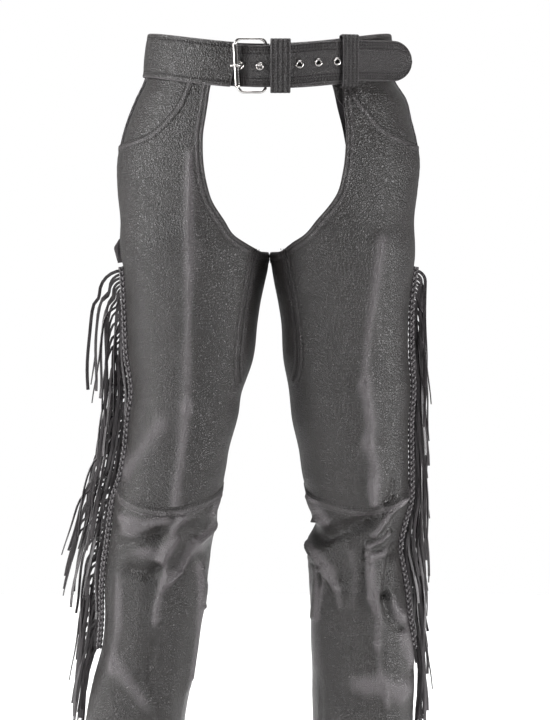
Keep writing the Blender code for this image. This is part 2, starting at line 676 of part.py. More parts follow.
def keeper(name, x1, x2, middle, inside, outside, half, inner_end):
    """Loop over the strap, open behind the waistband. Its section is followed from end to end.

    inside and outside are the distances off the leather of its middle line behind the band and
    over the strap. The section is carried along X from x1 to x2.
    """
    r = 2.2
    line = [(inner_end, inside), (half - r, inside), (half - 0.3, inside + 0.8), (half, inside + r),
            (half, outside - r), (half - 0.6, outside - 0.6), (half - r, outside), (-half + r, outside),
            (-half + 0.6, outside - 0.6), (-half, outside - r), (-half, 1.6)]
    line = np.array(line)
    along = np.gradient(line, axis=0)
    along /= np.hypot(along[:, 0], along[:, 1])[:, None]
    across = np.stack([-along[:, 1], along[:, 0]], -1) * 0.9
    outer, inner = [], []
    for x in np.linspace(x1, x2, 4):
        for grid, sign in ((outer, -1.0), (inner, 1.0)):
            grid.append([belt_spot(x, off, z + middle) for z, off in line + sign * across])
    wall(name, np.array(outer), np.array(inner), "leather")


def buckle():
    """Frame of bent wire, its prong and the two folded straps that hold its pivot bar."""
    bar, pivot = belt_spot(BAR_X, BAR_OFF)[:2], belt_spot(PIVOT_X, PIVOT_OFF)[:2]
    bar_out = belt_spot(BAR_X, BAR_OFF + 1.0)[:2] - bar
    lean = 2.0            # the bar leans: its low end lies nearer the pivot
    path = []
    high, r = BUCKLE_HALF_HEIGHT, BUCKLE_CORNER
    corners = [(0.0, high), (1.0, high), (1.0, -high), (0.0, -high)]
    for k, (t, z) in enumerate(corners):
        reach = np.hypot(*(pivot - bar))
        start = 90 + 90 * ((1 - k) % 4)
        centre = np.array([t * reach + (r if t == 0 else -r), z + (-r if z > 0 else r)])
        for turn in np.linspace(0, 90, 5):
            a = radians(start - turn)
            path.append(centre + r * np.array([cos(a), sin(a)]))
    # The sleeve on the bar is a thicker stretch of the wire between two steps
    steps = [(0.0, -high + 6.5), (0.0, -high + 7.0), (0.0, high - 7.0), (0.0, high - 6.5)]
    path = [p for p in path if not (abs(p[0]) < 0.2 and abs(p[1]) < high - 6.5)]
    flat = np.array(path + [np.array(p) for p in steps])
    thick = np.full(len(flat), WIRE)
    thick[-3:-1] = ROLLER
    middle_bulge = 1.6    # the rails curve with the waist
    t = flat[:, 0] / np.hypot(*(pivot - bar))
    bulge = np.outer(np.sin(np.clip(t, 0, 1) * pi), bar_out) * middle_bulge
    places = bar[None] + t[:, None] * (pivot - bar)[None] + bulge
    shift = lean * (1 - np.clip(t, 0, 1)) * -flat[:, 1] / high
    ring = np.stack([places[:, 0] + shift, places[:, 1], BUCKLE_Z + flat[:, 1]], -1)
    tube("buckle_frame", ring, thick, "chrome", sides=8, closed=True, flat=(0.0, -1.0, 0.0))

    # Prong: a hook round the pivot bar, then under the strap, up through the hole and over the bar
    hook = WIRE + GAP + PRONG
    route = []
    for turn in np.linspace(-200, 60, 9):
        a = radians(-90 - turn)
        route.append((PIVOT_X + hook * cos(a), PIVOT_OFF + hook * sin(a)))
    route = [p for p in route if not (p[0] < PIVOT_X - 1.0 and p[1] > PIVOT_OFF + 1.0)]
    route += [(-13.0, -1.2), (-24.0, -0.6), (-30.5, -0.6), (-33.6, 0.5), (-35.4, 1.9), (-36.7, 5.6), (-36.3, 8.0),
              (-37.2, 11.0), (-39.2, 12.6), (-42.0, 13.1), (-45.2, 12.3), (-47.6, 11.0)]
    points = []
    for x, off in route:
        spot = belt_spot(x, off)
        points.append((spot[0], spot[1], -17.2))
    tube("buckle_prong", points, PRONG, "chrome", sides=6)

    # Folded straps round the pivot bar, above and below the prong
    fold = WIRE + GAP + 0.7
    for name, low, high_z in (("buckle_chape_upper", -14.2, 8.4), ("buckle_chape_lower", -41.4, -20.2)):
        line = [(19.0, PIVOT_OFF + fold), (8.0, PIVOT_OFF + fold)]
        for turn in np.linspace(0, 180, 7):
            a = radians(90 + turn)
            line.append((PIVOT_X + fold * cos(a), PIVOT_OFF + fold * sin(a)))
        line += [(8.0, PIVOT_OFF - fold), (26.0, PIVOT_OFF - fold), (45.0, PIVOT_OFF - fold)]
        line = np.array(line)
        along = np.gradient(line, axis=0)
        along /= np.hypot(along[:, 0], along[:, 1])[:, None]
        across = np.stack([-along[:, 1], along[:, 0]], -1) * 0.6
        grids = []
        for sign in (-1.0, 1.0):
            row = [belt_spot(x, off) for x, off in line + sign * across]
            grids.append(np.array([[(p[0], p[1], z) for p in row] for z in (low, high_z)]))
        wall(name, grids[0], grids[1], "leather")


def trim_tab():
    """Small pointed tab that stands out at the top of the right trim."""
    outline = [(-204.5, -246.0), (-212.0, -258.0), (-206.5, -279.0), (-205.0, -264.0)]
    n = len(outline)
    points = [(x, y, z) for y in (-6.0, -3.6) for x, z in outline]
    faces = [tuple(range(n)), tuple(range(2 * n - 1, n - 1, -1))]
    faces += [((k + 1) % n, k, k + n, (k + 1) % n + n) for k in range(n)]
    make("trim_tab_right", points, faces, "fringe_leather")


def main():
    for old in list(bpy.data.objects):
        bpy.data.objects.remove(old, do_unlink=True)
    leg_pieces(RIGHT, "right", RIGHT_FRONT_EDGE, RIGHT_INNER_SEAM, RIGHT_POCKET)
    leg_pieces(LEFT, "left", LEFT_FRONT_EDGE, LEFT_INNER_SEAM, LEFT_POCKET)
    trim_tab()
    back_seam = 0.1       # degrees
    waistband("waistband_right", RIGHT, -90 + back_seam, float(RIGHT.angle_of(46.0, -16.0)[0]), 27)
    waistband("waistband_left", LEFT, -90 + back_seam, float(LEFT.angle_of(21.0, -16.0)[0]), 28)
    belt_strap()
    for i in range(len(EYELET_X)):
        eyelet(i)
    keeper("belt_keeper_1", 1.5, 27.0, -17.5, -5.6, 11.2, 34.0, 6.0)
    keeper("belt_keeper_2", 92.0, 112.0, -11.0, -1.3, 9.4, 34.0, 3.0)
    buckle()


main()
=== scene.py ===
"""Leather chaps in their worn form: creased panels, sewn seams, plaited trim, cut fringe and a buckled belt.

Sizes are in millimetres until a mesh is made, in the frame of the CAD model: +Z up, front towards -Y,
the wearer's right leg on -X and the origin in the middle of the waist.
"""

from math import atan2, pi, radians

import bpy
import numpy as np
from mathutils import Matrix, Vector


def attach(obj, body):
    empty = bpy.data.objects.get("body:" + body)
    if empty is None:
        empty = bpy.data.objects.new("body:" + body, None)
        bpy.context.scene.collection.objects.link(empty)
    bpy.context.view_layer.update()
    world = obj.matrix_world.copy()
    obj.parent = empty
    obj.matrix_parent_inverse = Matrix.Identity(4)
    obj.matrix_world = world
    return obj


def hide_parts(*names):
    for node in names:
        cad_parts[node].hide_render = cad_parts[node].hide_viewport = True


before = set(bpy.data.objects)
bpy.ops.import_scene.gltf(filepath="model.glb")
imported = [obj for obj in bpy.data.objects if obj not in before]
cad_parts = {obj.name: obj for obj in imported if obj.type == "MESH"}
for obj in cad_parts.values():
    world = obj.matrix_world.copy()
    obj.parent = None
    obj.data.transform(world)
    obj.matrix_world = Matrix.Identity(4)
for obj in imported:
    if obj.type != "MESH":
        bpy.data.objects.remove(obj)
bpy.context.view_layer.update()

# Driving sizes, in millimetres
MM = 0.001
LEATHER = 1.6            # wall of one layer of leather
GAP = 0.3                # free space between pieces that meet
BAND_HEIGHT = 58.0
BAND_WALL = 3.0          # the waistband is two layers sewn together
STRAP_HEIGHT = 54.0
STRAP_WALL = 2.5
KNEE_Z = -594.0          # knee seam at the outer side
HEM_Z = -1004.0
FRINGE_TOP = -287.0
FRINGE_BOTTOM = -806.0
STRANDS = 104            # a leg
STRAND_WIDTH = 3.4
STRAND_WALL = 1.2
TRIM_OFF = 1.2           # free space under the trim, which bridges the curve of the leg
SQUARENESS = 2.25        # exponent of the rings: 2 is an ellipse
STITCH_PITCH = 4.0
STITCH_LENGTH = 2.9
STITCH_RADIUS = 0.5

# Rings of each leg: height, outer and inner side, depth of the front and of the back
RIGHT_RINGS = np.array([
    # z, outer, inner, front, back
    (45, 159, -158, 121, 112),
    (0, 165, -165, 124, 116),
    (-30, 169, -167, 125, 118),
    (-58, 182, -168, 126, 122),
    (-85, 193, -165, 127, 126),
    (-112, 201, -155, 127, 128),
    (-140, 206, -138, 126, 129),
    (-180, 206, -98, 122, 127),
    (-222, 202, -43, 117, 122),
    (-255, 203, 1.2, 113, 115),
    (-270, 201.5, 0.8, 111, 113),
    (-287, 198, 2.2, 109, 110),
    (-305, 196.5, 6.2, 106.5, 106),
    (-330, 195.2, 12, 103, 102),
    (-357, 194, 16, 99, 98),
    (-412, 191.5, 23, 92, 91),
    (-440, 187, 32, 89, 88),
    (-458, 186, 38, 87, 86),
    (-485, 190.5, 42, 84, 83),
    (-538, 195.5, 55, 79, 80),
    (-566, 200.5, 60, 78, 79),
    (-602, 212, 67, 76, 78),
    (-634, 217, 74, 74, 80),
    (-662, 221, 79, 73, 82),
    (-718, 228, 86, 72, 84),
    (-775, 229, 95, 71, 83),
    (-809, 232.5, 99, 71, 81),
    (-854, 244, 106, 72, 78),
    (-908, 254, 116, 74, 76),
    (-1004, 262, 124, 76, 76)], float)
LEFT_RINGS = np.array([
    # z, outer, inner, front, back
    (45, 159, -158, 121, 112),
    (0, 165, -165, 124, 116),
    (-30, 169, -167, 125, 118),
    (-58, 186, -168, 126, 122),
    (-85, 193, -165, 127, 126),
    (-112, 200, -155, 127, 128),
    (-140, 204, -138, 126, 129),
    (-180, 201, -98, 122, 127),
    (-222, 196, -43, 117, 122),
    (-255, 197.5, 1.2, 113, 115),
    (-270, 197.5, 0.8, 111, 113),
    (-287, 195.5, 3.2, 109, 110),
    (-305, 193, 6.2, 106.5, 106),
    (-330, 190.8, 11, 103, 102),
    (-357, 190, 15, 99, 98),
    (-412, 191, 19, 92, 91),
    (-448, 194, 26, 88, 87),
    (-495, 191, 32, 83, 82),
    (-538, 191, 41, 79, 80),
    (-578, 191.5, 47, 77, 78),
    (-606, 191, 55, 76, 78),
    (-622, 187, 62, 75, 79),
    (-634, 183.5, 65, 74, 80),
    (-648, 180, 60, 73.5, 81),
    (-662, 177.5, 53, 73, 82),
    (-676, 176.5, 51.5, 72.5, 82.5),
    (-690, 179.5, 53, 72, 83),
    (-725, 185.5, 55, 72, 84),
    (-767, 190, 56, 71, 83),
    (-809, 196.5, 57, 71, 81),
    (-849, 200, 59, 72, 78),
    (-908, 199, 61, 74, 76),
    (-1004, 201, 64, 76, 76)], float)

# Edges on the front and back: distance from the middle and height
RIGHT_FRONT_EDGE = [(72, -20), (75, -40), (81, -75), (86, -106), (86, -139), (81, -171), (75, -191),
                    (59, -217), (41, -242), (29, -250), (17, -257)]
LEFT_FRONT_EDGE = [(90, -20), (93, -45), (98.5, -83), (99.5, -124), (96, -154), (86.5, -186), (79, -197),
                   (62, -217), (44, -238), (30, -248), (19, -257)]
SEAT_EDGE = [(84, -20), (94, -60), (104, -100), (110, -140), (110, -180), (102, -212), (82, -240),
             (54, -260), (26, -272), (6, -280)]
RIGHT_INNER_SEAM = [(17, -257), (25, -294), (31, -325), (38, -372), (41.5, -409), (40, -436)]
LEFT_INNER_SEAM = [(19, -257), (23, -288), (30, -318), (34, -349), (37, -387), (36, -420), (32, -436)]
RIGHT_POCKET = [(104, -20), (107, -33), (129, -75), (146, -93), (162, -105), (198, -118), (206, -121)]
LEFT_POCKET = [(104, -20), (108, -44), (130, -72), (146, -92), (162, -103), (190, -116), (203, -121)]

# Soft folds, as on the solids: the points that one runs through (distance from the middle, height)
RIGHT_FOLDS = [
    # x1, z1, x2, z2, x3, z3, height, width
    (103, -130, 107, -350, 110, -470, 2.2, 9),
    (110, -465, 117, -525, 127, -600, 3.0, 9),
    (146, -490, 170, -525, 196, -560, 3.0, 12),
    (118, -618, 129, -634, 141, -664, 4.5, 8),
    (72, -631, 84, -645, 96, -658, 4.0, 9),
    (127, -650, 145, -676, 139, -702, 4.5, 9),
    (103, -658, 117, -680, 137, -706, 3.5, 8),
    (190, -640, 170, -662, 150, -672, 4.0, 14),
    (139, -700, 148, -722, 152, -756, 3.5, 10),
    (94, -690, 92, -750, 108, -862, 3.5, 8),
    (208, -822, 173, -866, 157, -884, 4.0, 12)]
LEFT_FOLDS = [
    # x1, z1, x2, z2, x3, z3, height, width
    (147, -241, 130, -380, 126, -440, 2.5, 9),
    (126, -435, 136, -490, 131, -516, 4.0, 8),
    (131, -514, 141, -546, 141, -600, 4.0, 8),
    (58, -600, 70, -624, 88, -636, 3.6, 9),
    (74, -628, 58, -660, 82, -692, 4.0, 9),
    (79, -690, 92, -716, 96, -740, 3.5, 9),
    (130, -660, 139, -690, 140, -730, 4.0, 8),
    (140, -728, 148, -752, 146, -792, 4.0, 8),
    (166, -680, 158, -720, 176, -762, 4.5, 9),
    (176, -760, 187, -792, 196, -824, 4.0, 10),
    (120, -846, 152, -848, 180, -862, 5.0, 18),
    (66, -720, 62, -770, 66, -830, 3.0, 9)]
BACK_FOLDS = [
    # x1, z1, x2, z2, x3, z3, height, width
    (90, -572, 125, -584, 170, -576, 3.5, 14),
    (90, -612, 130, -626, 180, -616, 4.5, 13),
    (100, -650, 140, -662, 185, -654, 4.0, 14),
    (120, -700, 140, -760, 135, -820, 3.0, 14)]

# Sharper creases on top of them. A negative height is a trough.
RIGHT_CREASES = [
    # x1, z1, x2, z2, x3, z3, height, width
    (103, -130, 107, -350, 110, -470, 0.9, 3.0),
    (110, -465, 117, -525, 127, -600, 0.9, 3.0),
    (120, -619, 126, -628, 131, -636, 1.8, 3.5),
    (125, -645, 139, -663, 144, -677, 2.0, 3.5),
    (144, -677, 139, -696, 146, -715, 1.8, 3.5),
    (146, -715, 153, -741, 155, -768, 1.2, 3.5),
    (102, -649, 112, -670, 120, -693, 1.8, 3.5),
    (120, -693, 130, -703, 139, -708, 1.6, 3.5),
    (67, -597, 73, -608, 78, -620, 1.8, 3.5),
    (75, -636, 86, -645, 98, -653, 2.2, 3.5),
    (94, -693, 91, -718, 93, -749, 1.8, 3.0),
    (93, -749, 98, -790, 108, -850, 1.4, 3.0),
    (190, -690, 165, -695, 148, -688, -3.0, 9.0),
    (200, -622, 170, -630, 140, -622, 2.2, 8.0),
    (196, -655, 172, -652, 150, -640, -2.4, 8.0),
    (160, -790, 168, -840, 150, -900, -1.6, 7.0),
    (206, -700, 205, -760, 214, -830, 1.2, 6.0)]
LEFT_CREASES = [
    # x1, z1, x2, z2, x3, z3, height, width
    (147, -241, 130, -380, 126, -440, 0.8, 3.0),
    (126, -435, 136, -490, 131, -516, 1.2, 3.0),
    (138, -560, 137, -581, 140, -600, 2.0, 3.0),
    (169, -570, 167, -588, 157, -600, -2.5, 5.0),
    (53, -597, 61, -610, 68, -626, 1.8, 3.0),
    (68, -626, 60, -642, 50, -653, 1.8, 3.0),
    (50, -656, 60, -673, 74, -690, 3.4, 4.0),
    (74, -690, 81, -701, 90, -716, 3.0, 4.0),
    (53, -684, 56, -707, 54, -749, 1.4, 3.0),
    (62, -693, 64, -720, 61, -763, 1.6, 3.0),
    (74, -701, 71, -727, 66, -763, 1.4, 3.0),
    (135, -622, 98, -637, 66, -650, -5.0, 11.0),
    (183, -597, 163, -613, 140, -642, 3.0, 5.0),
    (135, -657, 149, -651, 162, -642, 2.6, 4.0),
    (133, -670, 152, -670, 168, -659, 2.4, 6.0),
    (127, -660, 128, -667, 128, -674, -2.0, 3.0),
    (134, -684, 134, -701, 143, -747, 2.2, 3.2),
    (168, -662, 160, -700, 157, -727, -3.2, 6.0),
    (157, -727, 162, -753, 179, -774, -3.0, 6.0),
    (110, -665, 116, -700, 112, -740, 1.5, 8.0),
    (146, -792, 150, -830, 160, -880, 1.4, 4.0)]
BACK_CREASES = [
    # x1, z1, x2, z2, x3, z3, height, width
    (70, -575, 110, -592, 165, -584, -2.6, 6.0),
    (80, -630, 120, -642, 178, -634, -2.8, 7.0),
    (96, -668, 140, -682, 190, -672, -2.2, 7.0),
    (110, -300, 126, -400, 118, -520, 1.4, 6.0),
    (60, -310, 96, -330, 150, -322, 1.6, 9.0),
    (64, -345, 104, -372, 160, -360, 1.3, 9.0),
    (150, -720, 156, -790, 150, -860, 1.4, 6.0),
    (124, -880, 132, -930, 128, -990, 1.2, 8.0)]

# Strap of the belt: distance along X, height of its inner face off the leather and its middle height
STRAP_COURSE = np.array([
    # x, off, z
    (-70, -2.9, -14),
    (-57, -2.9, -15),
    (-51, -3.1, -15.5),
    (-46.5, -3.0, -16),
    (-41.5, -1.0, -16.5),
    (-36, 1.6, -17),
    (-28, 4.2, -17.5),
    (-20, 5.3, -18),
    (-5, 5.9, -18),
    (8, 5.8, -17.5),
    (22, 4.8, -17),
    (39, 3.7, -15.5),
    (63, 3.7, -13),
    (85, 3.7, -11.5),
    (102, 3.7, -10.5),
    (118, 3.7, -10)], float)
STRAP_LEAVES_X = 118.0    # past the second keeper the end of the strap stands off straight
STRAP_TAIL = 80.5
STRAP_POINT = 30.0
EYELET_X = (-36.2, -11.8, 13.0, 38.5, 62.5, 86.0, 109.5)    # an inch apart round the waist
EYELET_OUTER = 5.2
EYELET_HOLE = 2.8
EYELET_BARREL = 3.5
EYELET_LIFT = 0.6
STRAP_HOLE = 3.8

# Buckle
BAR_X = -41.5             # bar that the prong rests on
PIVOT_X = -4.0            # bar that the prong turns on
BUCKLE_Z = -16.5
BUCKLE_HALF_HEIGHT = 34.5
BUCKLE_CORNER = 9.0
BAR_OFF = 7.8
PIVOT_OFF = 0.2
WIRE = 1.9                # radius of the frame's wire
ROLLER = 3.6              # radius of the sleeve that turns on the bar
PRONG = 1.25              # radius of the prong

# Distances from an edge of a panel at which its grid has a column, close together for the sewing
NEAR = np.array([0, 0.3, 0.8, 1.5, 2.5, 3.5, 4.5, 5.5, 6.5, 7.5, 8.5, 9.5, 10.5, 11.5, 12.5, 14, 16.5])


def smooth(t):
    """Smooth step from 0 at t = 0 to 1 at t = 1."""
    t = np.clip(t, 0.0, 1.0)
    return t * t * (3.0 - 2.0 * t)


def curve_through(points, columns, at):
    """Cubic curve through table rows, read at heights or places, with mean slopes at the rows."""
    points = np.asarray(points, float)
    order = np.argsort(points[:, 0])
    x, y = points[order, 0], points[order][:, columns]
    slope = np.gradient(y, x, axis=0)
    i = np.clip(np.searchsorted(x, at) - 1, 0, len(x) - 2)
    step = (x[i + 1] - x[i])[..., None]
    t = np.clip((at - x[i])[..., None] / step, 0.0, 1.0)
    return ((2 * t ** 3 - 3 * t ** 2 + 1) * y[i] + (t ** 3 - 2 * t ** 2 + t) * step * slope[i]
            + (3 * t ** 2 - 2 * t ** 3) * y[i + 1] + (t ** 3 - t ** 2) * step * slope[i + 1])


def lattice(p, size, seed):
    """Smooth noise from -1 to 1: hashed values at the corners of boxes of this size, blended between."""
    q = np.asarray(p, float) / np.asarray(size, float)
    cell = np.floor(q)
    f = q - cell
    f = f * f * (3.0 - 2.0 * f)
    total = np.zeros(q.shape[:-1])
    for corner in np.ndindex(2, 2, 2):
        corner = np.array(corner, float)
        spot = (cell + corner) @ np.array([127.1, 311.7, 74.7]) + seed * 19.19
        value = 2.0 * np.modf(np.abs(np.sin(spot) * 43758.5453))[0] - 1.0
        total += value * np.prod(np.where(corner > 0.5, f, 1.0 - f), axis=-1)
    return total


def line_sum(table, x, z):
    """Sum of ridges and troughs. Each falls off as a bell across its line of three points."""
    total = np.zeros_like(x)
    for x1, z1, x2, z2, x3, z3, height, width in table:
        reach = []
        for xa, za, xb, zb in ((x1, z1, x2, z2), (x2, z2, x3, z3)):
            length = (xb - xa) ** 2 + (zb - za) ** 2
            along = np.clip(((x - xa) * (xb - xa) + (z - za) * (zb - za)) / length, 0, 1)
            reach.append(np.hypot(x - xa - along * (xb - xa), z - za - along * (zb - za)))
        total += height * np.exp(-(np.minimum(*reach) / width) ** 2)
    return total


class Leg:
    """One leg's outer surface. Angle 0 is the outer side, 90 the front, 180 the inner side."""

    def __init__(self, side, rings, folds, creases):
        self.side = side              # -1 is the wearer's right, +1 the left
        self.rings = rings
        self.folds = folds
        self.creases = creases

    def plain(self, angle, z):
        """Point of the ring at this height: a squared ellipse with its own depth at front and back."""
        outer, inner, front, back = np.moveaxis(curve_through(self.rings, [1, 2, 3, 4], z), -1, 0)
        c, s = np.cos(np.radians(angle)), np.sin(np.radians(angle))
        reach = (np.abs(c) ** SQUARENESS + np.abs(s) ** SQUARENESS) ** (-1.0 / SQUARENESS)
        x = (outer + inner) / 2 + (outer - inner) / 2 * c * reach
        y = -np.where(s > 0, front, back) * s * reach
        return np.stack([x, y, z], -1)

    def angle_at(self, p):
        """Angle of a point near the surface: the direction from the ring's middle, scaled to its depths."""
        outer, inner, front, back = np.moveaxis(curve_through(self.rings, [1, 2, 3, 4], p[..., 2]), -1, 0)
        u = (p[..., 0] - (outer + inner) / 2) / ((outer - inner) / 2)
        v = -p[..., 1] / np.where(p[..., 1] < 0, front, back)
        return np.degrees(np.arctan2(v, u))

    def angle_of(self, x, z, front=True):
        """Angle on the front or back whose distance from the middle is x."""
        x, z = np.broadcast_arrays(np.asarray(x, float), np.asarray(z, float))
        outer, inner = np.moveaxis(curve_through(self.rings, [1, 2], z), -1, 0)
        u = np.clip((x - (outer + inner) / 2) / ((outer - inner) / 2), -1, 1)
        v = (1.0 - np.abs(u) ** SQUARENESS) ** (1.0 / SQUARENESS)
        return np.degrees(np.arctan2(v, u)) * (1 if front else -1)

    def normal(self, angle, z, folded=False):
        """Outward normal from the slopes along and across."""
        read = self.folded if folded else self.plain
        along = read(angle + 0.4, z) - read(angle - 0.4, z)
        down = read(angle, z + 0.4) - read(angle, z - 0.4)
        n = np.cross(down, along)
        return n / np.linalg.norm(n, axis=-1, keepdims=True)

    def fold_height(self, p, angle):
        """Folds, creases and the slow unevenness of soft leather, by the way that the surface faces."""
        facing = np.sin(np.radians(angle))
        facing = smooth(np.abs(facing) / 0.45) * np.sign(facing)
        x, z = p[..., 0], p[..., 2]
        total = np.clip(facing, 0, 1) * (line_sum(self.folds, x, z) + 2.2 * line_sum(self.creases, x, z))
        total += np.clip(-facing, 0, 1) * (line_sum(BACK_FOLDS, x, z) + 1.4 * line_sum(BACK_CREASES, x, z))
        loose = smooth((-60.0 - z) / 80.0)
        total += loose * 1.5 * lattice(p, (46, 60, 130), 3.0 + self.side)
        total += loose * 0.5 * lattice(p, (19, 30, 44), 7.0 + self.side)
        bunch = np.exp(-((z + 640.0) / 75.0) ** 2)
        total += bunch * 1.4 * lattice(p, (34, 40, 22), 11.0 + self.side)
        # Small wrinkles: rounded ridges with sharp valleys, short and level round the knee, long down the calf
        total -= bunch * 0.8 * np.abs(lattice(p, (30, 34, 15), 17.0 + self.side)) ** 0.8
        calf = smooth((-610.0 - z) / 60.0) + 0.35 * smooth((-150.0 - z) / 120.0)
        total -= calf * 0.9 * np.abs(lattice(p, (17, 24, 90), 23.0 + self.side)) ** 0.8
        # Beside the outer seam the leather lies flat, and the legs stay clear of each other
        return total * (0.3 + 0.7 * smooth(np.abs(angle) / 14.0)) * smooth((x - 1.0) / 16.0)

    def folded(self, angle, z):
        """Ring point lifted by the folds."""
        p = self.plain(angle, z)
        return p + self.normal(angle, z) * self.fold_height(p, angle)[..., None]

    def out(self, p):
        """Own-side points to the garment's frame."""
        return p * np.array([self.side, 1.0, 1.0])


RIGHT = Leg(-1, RIGHT_RINGS, RIGHT_FOLDS, RIGHT_CREASES)
LEFT = Leg(1, LEFT_RINGS, LEFT_FOLDS, LEFT_CREASES)


def band_middle(angle):
    """The waistband dips at the front, and less so at the back."""
    s = np.sin(np.radians(angle))
    return np.where(s > 0, -17.0 * s ** 3, -6.0 * s ** 4)


def seam_shift(angle, z):
    """Rows near the waist and the knee follow the dip of the waistband and of the knee seam."""
    s = np.sin(np.radians(angle))
    knee = np.where(s > 0, -22.0, -8.0) * np.abs(s) ** 1.5
    return (band_middle(angle) * np.clip(1.0 + z / 120.0, 0, 1)
            + knee * np.clip(1.0 - np.abs(z - KNEE_Z) / 110.0, 0, 1))


# Materials
def linear(code):
    """sRGB hex colour to linear light."""
    value = np.array([int(code[i:i + 2], 16) for i in (1, 3, 5)]) / 255.0
    return tuple(np.where(value <= 0.04045, value / 12.92, ((value + 0.055) / 1.055) ** 2.4)) + (1.0,)


def add(tree, kind, inputs=(), **settings):
    """One node: its own settings, and for each input a value or the socket that feeds it."""
    made = tree.nodes.new(kind)
    for name, value in settings.items():
        setattr(made, name, value)
    for name, value in dict(inputs).items():
        if isinstance(value, bpy.types.NodeSocket):
            tree.links.new(value, made.inputs[name])
        else:
            made.inputs[name].default_value = value
    return made


def ramp(tree, value, *stops):
    """Colour ramp through (place, hex colour or grey level) stops."""
    made = add(tree, "ShaderNodeValToRGB", {"Fac": value})
    marks = made.color_ramp.elements
    while len(marks) < len(stops):
        marks.new(0.5)
    for mark, (place, level) in zip(marks, stops):
        mark.position = place
        mark.color = linear(level) if isinstance(level, str) else (level, level, level, 1.0)
    return made.outputs["Color"]


def new_material(name):
    """Empty material with its principled shader."""
    made = bpy.data.materials.new(name)
    made.use_nodes = True
    tree = made.node_tree
    shader = tree.nodes["Principled BSDF"]
    return made, tree, shader


def cowhide(name, dark, light, roughness, grain_mm, wear):
    """Drum-dyed cowhide with a pigmented finish: a pebbled grain with painted shade in its valleys, soft gloss, paler
    creases and edges that are partly worn and partly a painted highlight, and painted shade in the grooves of the
    sewing.
    """
    made, tree, shader = new_material(name)
    place = add(tree, "ShaderNodeTexCoord").outputs["Object"]
    bend = add(tree, "ShaderNodeTexNoise", {"Vector": place, "Scale": 260.0, "Detail": 2.0})
    bent = add(tree, "ShaderNodeVectorMath", {0: bend.outputs["Color"], 1: (0.0022, 0.0022, 0.0022)},
               operation="MULTIPLY")
    spot = add(tree, "ShaderNodeVectorMath", {0: place, 1: bent.outputs["Vector"]}, operation="ADD")
    pebble = add(tree, "ShaderNodeTexVoronoi", {"Vector": spot.outputs["Vector"], "Scale": 1000.0 / grain_mm},
                 feature="DISTANCE_TO_EDGE")
    crown = ramp(tree, pebble.outputs["Distance"], (0.02, 0.0), (0.16, 0.6), (0.42, 1.0))
    skin = add(tree, "ShaderNodeTexNoise", {"Vector": place, "Scale": 330.0, "Detail": 4.0, "Roughness": 0.65})
    hide = add(tree, "ShaderNodeTexNoise", {"Vector": place, "Scale": 16.0, "Detail": 4.0, "Roughness": 0.55})
    wear_and_light_mark = add(tree, "ShaderNodeAttribute", attribute_name="wear")
    base = ramp(tree, hide.outputs["Fac"], (0.3, dark), (0.7, light))
    # On a colour Mix node the colour sockets share their names with the plain ones, so they go by number
    # Painted shade: the colour is darkened in the valleys of the pebble grain
    grain_valley_shade = add(tree, "ShaderNodeMix", data_type="RGBA")
    tree.links.new(crown, grain_valley_shade.inputs[0])
    grain_valley_shade.inputs[6].default_value = (0.4, 0.39, 0.39, 1.0)
    grain_valley_shade.inputs[7].default_value = (1.0, 1.0, 1.0, 1.0)
    grain_shaded = add(tree, "ShaderNodeMix", {"Factor": 1.0}, data_type="RGBA", blend_type="MULTIPLY")
    tree.links.new(base, grain_shaded.inputs[6])
    tree.links.new(grain_valley_shade.outputs[2], grain_shaded.inputs[7])
    # Above zero the attribute pales the colour towards grey: worn leather on crests and edges, and partly a painted
    # highlight
    rubbed_and_highlit = add(tree, "ShaderNodeMix", data_type="RGBA")
    share = add(tree, "ShaderNodeMath", {0: wear_and_light_mark.outputs["Fac"], 1: wear}, operation="MULTIPLY", use_clamp=True)
    tree.links.new(share.outputs[0], rubbed_and_highlit.inputs[0])
    tree.links.new(grain_shaded.outputs[2], rubbed_and_highlit.inputs[6])
    rubbed_and_highlit.inputs[7].default_value = linear("#6a6568")
    # Below zero the attribute marks the grooves of the sewing and the folded edges, which are painted near-black as
    # shade and made dull
    groove_shade_mask = add(tree, "ShaderNodeMath", {0: wear_and_light_mark.outputs["Fac"], 1: -1.0}, operation="MULTIPLY", use_clamp=True)
    groove_shaded = add(tree, "ShaderNodeMix", data_type="RGBA")
    tree.links.new(groove_shade_mask.outputs[0], groove_shaded.inputs[0])
    tree.links.new(rubbed_and_highlit.outputs[2], groove_shaded.inputs[6])
    groove_shaded.inputs[7].default_value = linear("#0c0a0a")
    tree.links.new(groove_shaded.outputs[2], shader.inputs["Base Color"])
    gloss = add(tree, "ShaderNodeMapRange", {"Value": skin.outputs["Fac"], "From Min": 0.3, "From Max": 0.7,
                                             "To Min": roughness - 0.04, "To Max": roughness + 0.06})
    dull = add(tree, "ShaderNodeMath", {0: groove_shade_mask.outputs[0], 1: 0.5, 2: gloss.outputs["Result"]}, operation="MULTIPLY_ADD")
    tree.links.new(dull.outputs[0], shader.inputs["Roughness"])
    shine = add(tree, "ShaderNodeMapRange", {"Value": groove_shade_mask.outputs[0], "To Min": 0.5, "To Max": 0.05})
    tree.links.new(shine.outputs["Result"], shader.inputs["Specular IOR Level"])
    low = add(tree, "ShaderNodeBump", {"Height": crown, "Strength": 0.8, "Distance": 0.0008})
    high = add(tree, "ShaderNodeBump", {"Height": skin.outputs["Fac"], "Strength": 0.5, "Distance": 0.0011,
                                        "Normal": low.outputs["Normal"]})
    tree.links.new(high.outputs["Normal"], shader.inputs["Normal"])
    return made


